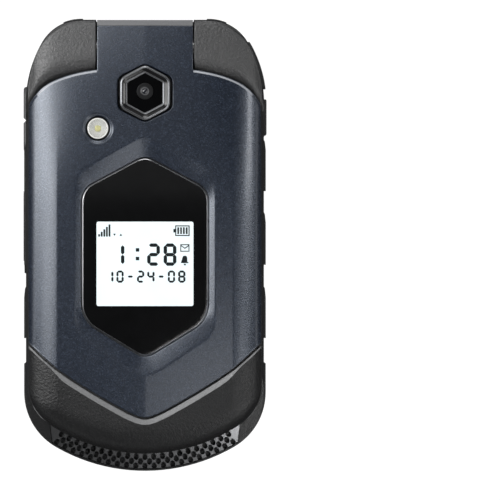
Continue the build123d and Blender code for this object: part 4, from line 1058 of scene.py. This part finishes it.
lcd_mat, lnt, lb = new_material("pale_lcd")
lv = coords(lnt)
lc = ramp(lnt, noise(lnt, lv, 90.0, 2.0), [(0.3, (0.66, 0.745, 0.765)), (0.7, (0.70, 0.785, 0.805))])
lnt.links.new(lc, lb.inputs["Base Color"])
lnt.links.new(lc, lb.inputs["Emission Color"])
lb.inputs["Emission Strength"].default_value = 0.40
lb.inputs["Roughness"].default_value = 0.16
MATS["lcd"] = lcd_mat
MATS["mark"] = surface("lcd_segment", (0.012, 0.016, 0.018), 0.2, 0.15, 300.0, 0.03)
lcd = shell("display_panel", PL, TL, window_top, lambda x, y: x * 0 + 23.9, [lcd_mat], lambda Q: [(np.zeros(len(Q)), np.full(len(Q), 0.3))])
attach(lcd, "lid")
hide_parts("sub_display")


def seg_digit(ch, x, y, w, h, t):
    """Seven segment figure with its lower left corner at x, y."""
    on = {"0": "abcdef", "1": "bc", "2": "abged", "3": "abgcd", "4": "fgbc", "5": "afgcd", "6": "afgedc", "7": "abc",
          "8": "abcdefg", "9": "abcdfg", "-": "g"}[ch]
    g, out = t * 0.03, []

    def hor(yc):
        return [(x + t * 0.5 + g, yc), (x + t + g, yc - t / 2), (x + w - t - g, yc - t / 2), (x + w - t * 0.5 - g, yc),
                (x + w - t - g, yc + t / 2), (x + t + g, yc + t / 2)]

    def ver(xc, y0, y1):
        return [(xc, y0 + g), (xc + t / 2, y0 + t / 2 + g), (xc + t / 2, y1 - t / 2 - g), (xc, y1 - g),
                (xc - t / 2, y1 - t / 2 - g), (xc - t / 2, y0 + t / 2 + g)]
    m = y + h / 2
    table = {"a": hor(y + h - t / 2), "g": hor(m), "d": hor(y + t / 2), "b": ver(x + w - t / 2, m, y + h - t / 2),
             "c": ver(x + w - t / 2, y + t / 2, m), "f": ver(x + t / 2, m, y + h - t / 2), "e": ver(x + t / 2, y + t / 2, m)}
    for k in on:
        out.append(table[k])
    return out


def rect(x0, y0, x1, y1):
    return [(x0, y0), (x1, y0), (x1, y1), (x0, y1)]


marks = []
for ch, x in (("1", -7.6), ("2", 0.55), ("8", 4.75)):
    marks += seg_digit(ch, x - (0.9 if ch == "1" else 0.0), -5.3, 3.25, 5.7, 0.88)
for yy in (-3.9, -1.7):
    marks.append(rect(-2.35, yy, -1.45, yy + 0.9))
for i, ch in enumerate("10-24-08"):
    marks += seg_digit(ch, -9.9 + 2.62 * i, -9.6, 1.85, 3.1, 0.52)
for i in range(5):
    marks.append(rect(-11.9 + 0.66 * i, 2.15, -11.46 + 0.66 * i, 2.75 + 0.62 * i))
marks += [[(-8.1, 2.9), (-7.75, 2.35), (-7.4, 2.9)], [(-6.5, 2.35), (-5.8, 2.35), (-6.15, 2.9)]]
marks += [rect(7.7, 2.3, 11.35, 2.55), rect(7.7, 4.75, 11.35, 5.0), rect(11.1, 2.55, 11.35, 4.75), rect(7.7, 2.55, 7.95, 4.75),
          rect(7.25, 3.2, 7.7, 4.1)]
for i in range(4):
    marks.append(rect(8.25 + 0.72 * i, 2.8, 8.67 + 0.72 * i, 4.5))
# small envelope and bell beside the time
marks += [rect(9.0, -1.7, 11.3, -1.48), rect(9.0, -0.02, 11.3, 0.2), rect(9.0, -1.48, 9.2, -0.02), rect(11.1, -1.48, 11.3, -0.02),
          [(9.2, -0.02), (9.2, -0.30), (10.15, -0.98), (11.1, -0.30), (11.1, -0.02), (10.15, -0.70)][:3] + [(10.15, -0.70)],
          [(10.15, -0.70), (10.15, -0.98), (11.1, -0.30), (11.1, -0.02)]]
marks += [[(9.15, -4.6), (11.15, -4.6), (10.75, -4.15), (10.75, -3.2), (10.5, -2.75), (9.8, -2.75), (9.55, -3.2), (9.55, -4.15)],
          rect(9.9, -5.15, 10.4, -4.8)]
mz = float(window_top(0.0, -3.0))
marks_o = plates("display_marks", marks, mz - 0.02, mz + 0.012, MATS["mark"])
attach(marks_o, "lid")

# camera: bezel with two bright edges, black glass and the lens
CAM_PTS = [(0, CAM_Y - 7.3), (6.45, CAM_Y - 3.85), (6.45, CAM_Y + 3.85), (0, CAM_Y + 7.3), (-6.45, CAM_Y + 3.85), (-6.45, CAM_Y - 3.85)]
cam_loop = rounded_loop(CAM_PTS, [2.4, 2.5, 2.5, 2.4, 2.5, 2.5], 12)
MATS["piano"] = surface("gloss_black_bezel", (0.006, 0.006, 0.0065), 0.22, 0.15, 500.0, 0.04)
MATS["bright"] = surface("bright_edge", (0.20, 0.205, 0.215), 0.33, 0.06, 1800.0, 0.04, metallic=1.0)
bez = turned("camera_ring", cam_loop,
             [(None, 25.36), (-2.12, 25.36), (-2.02, 25.36), (-1.94, 25.40), (-1.72, 25.66), (-1.66, 25.70), (-1.52, 25.72), (-1.40, 25.70),
              (-0.72, 26.02), (-0.66, 26.08), (-0.60, 26.14), (-0.50, 26.17), (-0.42, 26.15), (-0.16, 25.92), (-0.10, 25.86), (-0.02, 25.70), (0.0, 25.5), (0.0, 23.8), (None, 23.8)],
             [MATS["deep"], MATS["bright"], MATS["piano"]],
             [0, 0, 0, 1, 1, 1, 2, 2, 2, 1, 1, 1, 1, 2, 2, 2, 2, 2], 28.0)
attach(bez, "lid")
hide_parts("camera_bezel")
MATS["lens_grey"] = surface("lens_barrel", (0.0075, 0.0078, 0.0085), 0.36, 0.12, 900.0, 0.05, specular=0.25)
MATS["lens_edge"] = surface("lens_edge", (0.060, 0.062, 0.066), 0.36, 0.10, 900.0, 0.05)
MATS["lens"] = surface("coated_lens", (0.006, 0.007, 0.012), 0.06, 0.2, 300.0, 0.02, coat=1.0, coat_rough=0.02)
lens = turned("camera_lens", circle_loop(0.0, CAM_Y + 0.45, 72),
              [(None, 25.70), (0.25, 25.68), (0.46, 25.62), (0.60, 25.54), (0.66, 25.46), (0.74, 25.50), (0.86, 25.56), (0.98, 25.55), (1.06, 25.48),
               (1.5, 25.47), (1.95, 25.53), (2.05, 25.50), (2.10, 25.36), (2.10, 25.2), (None, 25.2)],
              [MATS["lens"], MATS["lens_edge"], MATS["lens_grey"]],
              [0, 0, 0, 0, 2, 1, 1, 1, 2, 2, 2, 2, 2, 2], 40.0)
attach(lens, "lid")

# flash: white bowl, yellow emitter and a clear dome
bowl_mat = surface("flash_bowl", (0.80, 0.80, 0.77), 0.30, 0.05, 600.0, 0.05)
emit_mat = surface("yellow_emitter", (0.88, 0.84, 0.42), 0.5, 0.12, 1500.0, 0.05, grain=[(2500.0, 0.3, 0.05)])
bowl = turned("flash_bowl", circle_loop(FLASH[0], FLASH[1], 72),
              [(None, 23.75), (0.78, 23.78), (1.2, 23.88), (1.72, 24.16), (2.16, 24.48), (2.44, 24.66), (2.56, 24.66), (2.64, 24.58), (2.67, 24.4), (2.67, 23.2), (None, 23.2)],
              [bowl_mat], [0] * 10, 50.0)
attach(bowl, "lid")
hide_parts("flash_lens")
emitter = turned("flash_emitter", rounded_loop([(FLASH[0] - 0.75, FLASH[1] - 0.75), (FLASH[0] + 0.75, FLASH[1] - 0.75), (FLASH[0] + 0.75, FLASH[1] + 0.75), (FLASH[0] - 0.75, FLASH[1] + 0.75)], [0.55] * 4, 8),
                 [(None, 24.12), (-0.3, 24.10), (-0.08, 24.04), (0.0, 23.95), (0.0, 23.7), (None, 23.7)], [emit_mat], [0] * 5, 40.0)
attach(emitter, "lid")
dome_mat, dnt, db = new_material("clear_dome")
dv = coords(dnt)
dnt.links.new(ramp(dnt, noise(dnt, dv, 500.0, 2.0), [(0.3, (0.96, 0.97, 0.97)), (0.7, (1.0, 1.0, 1.0))]), db.inputs["Base Color"])
db.inputs["Roughness"].default_value = 0.06
db.inputs["Transmission Weight"].default_value = 1.0
db.inputs["IOR"].default_value = 1.35
dome = turned("flash_dome", circle_loop(FLASH[0], FLASH[1], 72),
              [(None, 25.00), (0.55, 24.98), (1.1, 24.92), (1.6, 24.82), (2.05, 24.70), (2.30, 24.62), (2.38, 24.56), (2.0, 24.52), (1.3, 24.60), (0.65, 24.66), (None, 24.68)],
              [dome_mat], [0] * 10, 60.0)
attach(dome, "lid")

# ------------------------------------------------------------------ printed marks on the keys
MATS["print_white"] = surface("legend_white", (0.72, 0.73, 0.74), 0.45, 0.05, 2600.0, 0.04)
MATS["print_green"] = surface("legend_green", (0.03, 0.42, 0.09), 0.45, 0.06, 2600.0, 0.04)
MATS["print_red"] = surface("legend_red", (0.55, 0.02, 0.02), 0.45, 0.06, 2600.0, 0.04)


def glyph(name, text, x, y, size, z, body, mat):
    """A digit or sign as a thin raised print."""
    cu = bpy.data.curves.new("glyph", "FONT")
    cu.body = text
    cu.size = size * S
    cu.align_x, cu.align_y = "CENTER", "CENTER"
    cu.extrude = 0.000012
    cu.resolution_u = 5
    tmp = bpy.data.objects.new("glyph", cu)
    bpy.context.scene.collection.objects.link(tmp)
    bpy.context.view_layer.update()
    me = bpy.data.meshes.new_from_object(tmp.evaluated_get(bpy.context.evaluated_depsgraph_get()))
    bpy.data.objects.remove(tmp)
    bpy.data.curves.remove(cu)
    me.name = name
    V = np.array([v.co[:] for v in me.vertices])
    mid = (V.min(0) + V.max(0)) / 2
    V = (V - mid) + np.array([x, y, z]) * S
    me.vertices.foreach_set("co", V.astype(np.float32).ravel())
    me.materials.clear()
    me.materials.append(mat)
    me.update()
    o = bpy.data.objects.new(name, me)
    bpy.context.scene.collection.objects.link(o)
    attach(o, body)
    return o


KEY_Z = 16.95
DIGITS = ["1", "2", "3", "4", "5", "6", "7", "8", "9", "*", "0", "#"]
for i, ch in enumerate(DIGITS):
    tag = {"*": "star", "#": "hash"}.get(ch, ch)
    glyph("legend_" + tag, ch, (-18, 0, 18)[i % 3], -8.2 - 9.2 * (i // 3), 5.2 if ch != "*" else 7.0, KEY_Z, "key_" + tag, MATS["print_white"])


def mark(name, polys, body, mat, z=KEY_Z):
    o = plates(name, polys, z - 0.03, z + 0.012, mat)
    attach(o, body)


def handset(x, y, s):
    """A receiver drawn as a bar with two cups."""
    return [rect(x - 2.1, y + 0.25 * s, x + 2.1, y + 0.95 * s), rect(x - 2.1, y - 0.75 * s, x - 1.0, y + 0.3 * s), rect(x + 1.0, y - 0.75 * s, x + 2.1, y + 0.3 * s)]


mark("mark_send", handset(-18, 1.6, 1.0), "send_key", MATS["print_green"])
mark("mark_end", handset(18, 1.6, 1.0), "end_key", MATS["print_red"])
mark("mark_clear", [[(-1.9, 1.6), (-0.2, 0.1), (0.2, 0.5), (-0.9, 1.6), (0.2, 2.7), (-0.2, 3.1)], rect(-1.1, 1.3, 2.0, 1.9)], "clear_key", MATS["print_white"])
mark("mark_soft_left", [rect(-21.6, 25.35, -18.2, 25.85)], "soft_key_left", MATS["print_white"])
mark("mark_soft_right", [rect(18.2, 25.35, 21.6, 25.85)], "soft_key_right", MATS["print_white"])

# ------------------------------------------------------------------ floor, world and lights
def stage_floor():
    me = bpy.data.meshes.new("floor")
    h = 6.0
    me.from_pydata([(-h, -h, -0.0001), (h, -h, -0.0001), (h, h, -0.0001), (-h, h, -0.0001)], [], [(0, 1, 2, 3)])
    o = bpy.data.objects.new("floor", me)
    bpy.context.scene.collection.objects.link(o)
    m, nt, b = new_material("white_floor")
    v = coords(nt)
    n = noise(nt, v, 3.0, 2.0)
    nt.links.new(ramp(nt, n, [(0.3, (0.10, 0.10, 0.10)), (0.7, (0.11, 0.11, 0.11))]), b.inputs["Base Color"])
    nt.links.new(ramp(nt, n, [(0.3, (0.93, 0.93, 0.93)), (0.7, (0.95, 0.95, 0.95))]), b.inputs["Emission Color"])
    b.inputs["Emission Strength"].default_value = 1.03
    b.inputs["Roughness"].default_value = 0.8
    me.materials.append(m)
    o.visible_glossy = False
    o.visible_diffuse = False
    return o


def stage_wall():
    """A low pale wall far around the phone: the page's white behind it in level views, and fill light on its sides."""
    n, r, h = 96, 3.0, 0.80
    ring = [(r * math.cos(2 * math.pi * i / n), r * math.sin(2 * math.pi * i / n)) for i in range(n)]
    me = bpy.data.meshes.new("backdrop")
    me.from_pydata([(x, y, -0.0001) for x, y in ring] + [(x, y, h) for x, y in ring], [],
                   [((i + 1) % n, i, n + i, n + (i + 1) % n) for i in range(n)])
    o = bpy.data.objects.new("backdrop", me)
    bpy.context.scene.collection.objects.link(o)
    m, nt, b = new_material("white_backdrop")
    n1 = noise(nt, coords(nt), 2.0, 2.0)
    nt.links.new(ramp(nt, n1, [(0.3, (0.10, 0.10, 0.10)), (0.7, (0.11, 0.11, 0.11))]), b.inputs["Base Color"])
    nt.links.new(ramp(nt, n1, [(0.3, (0.93, 0.93, 0.93)), (0.7, (0.95, 0.95, 0.95))]), b.inputs["Emission Color"])
    b.inputs["Emission Strength"].default_value = 1.03
    b.inputs["Roughness"].default_value = 0.8
    me.materials.append(m)


stage_floor()
stage_wall()

world = bpy.data.worlds.new("world")
bpy.context.scene.world = world
world.use_nodes = True
wnt = world.node_tree
bg = wnt.nodes["Background"]
bg.inputs["Color"].default_value = (1, 1, 1, 1)
bg.inputs["Strength"].default_value = 0.05


def area(name, at, to, sx, sy, power, color=(1, 1, 1)):
    d = bpy.data.lights.new(name, "AREA")
    d.shape = "RECTANGLE"
    d.size, d.size_y = sx, sy
    d.energy = power
    d.color = color
    o = bpy.data.objects.new(name, d)
    bpy.context.scene.collection.objects.link(o)
    o.location = at
    dirv = Vector(to) - Vector(at)
    o.rotation_euler = dirv.to_track_quat("-Z", "Y").to_euler()
    o.visible_camera = False
    return o


def polar(zen, azi, dist):
    """Point at that angle from straight up, towards azimuth azi from +X, in metres."""
    z, a = math.radians(zen), math.radians(azi)
    return (dist * math.sin(z) * math.cos(a), dist * math.sin(z) * math.sin(a), dist * math.cos(z))


# (angle from straight up, azimuth from +X, irradiance on the phone, width): a broad softbox on the left made of
# overlapping panels, weaker ones at the lower right, a strip at the far right and two above
RIG = [
    ("key_a", 54, 155, 1.14, 0.17), ("key_b", 32, 162, 0.38, 0.14), ("key_c", 62, 168, 0.52, 0.14), ("key_d", 70, 176, 0.08, 0.12),
    ("key_e", 42, 174, 0.46, 0.15), ("up_a", 28, 120, 0.29, 0.11), ("up_b", 34, 92, 0.13, 0.11),
    ("low_a", 46, 338, 0.33, 0.12), ("low_c", 32, 284, 0.12, 0.12),
    ("grille_a", 56, 312, 0.36, 0.09), ("side_a", 54, 12, 0.38, 0.09), ("side_b", 38, 334, 0.05, 0.12),
]
REACH = 0.42
for nm, zen, azi, irr, wid in RIG:
    area(nm, polar(zen, azi, REACH), (0, 0, 0.02), wid, wid, irr * math.pi * REACH ** 2)
area("low_near", (0.046, -0.056, 0.24), (0.02, -0.03, 0.02), 0.06, 0.06, 0.16 * math.pi * 0.22 ** 2)
area("top_edge", polar(66, 92, 0.50), (0, 0.02, 0.02), 0.30, 0.10, 0.62)
area("overhead_card", (0.0, 0.055, 0.44), (0.0, 0.055, 0.0), 0.12, 0.06, 0.005)

bpy.context.scene.view_settings.view_transform = "Standard"
bpy.context.scene.view_settings.look = "None"
bpy.context.scene.view_settings.exposure = 0.0
bpy.context.scene.view_settings.gamma = 1.0
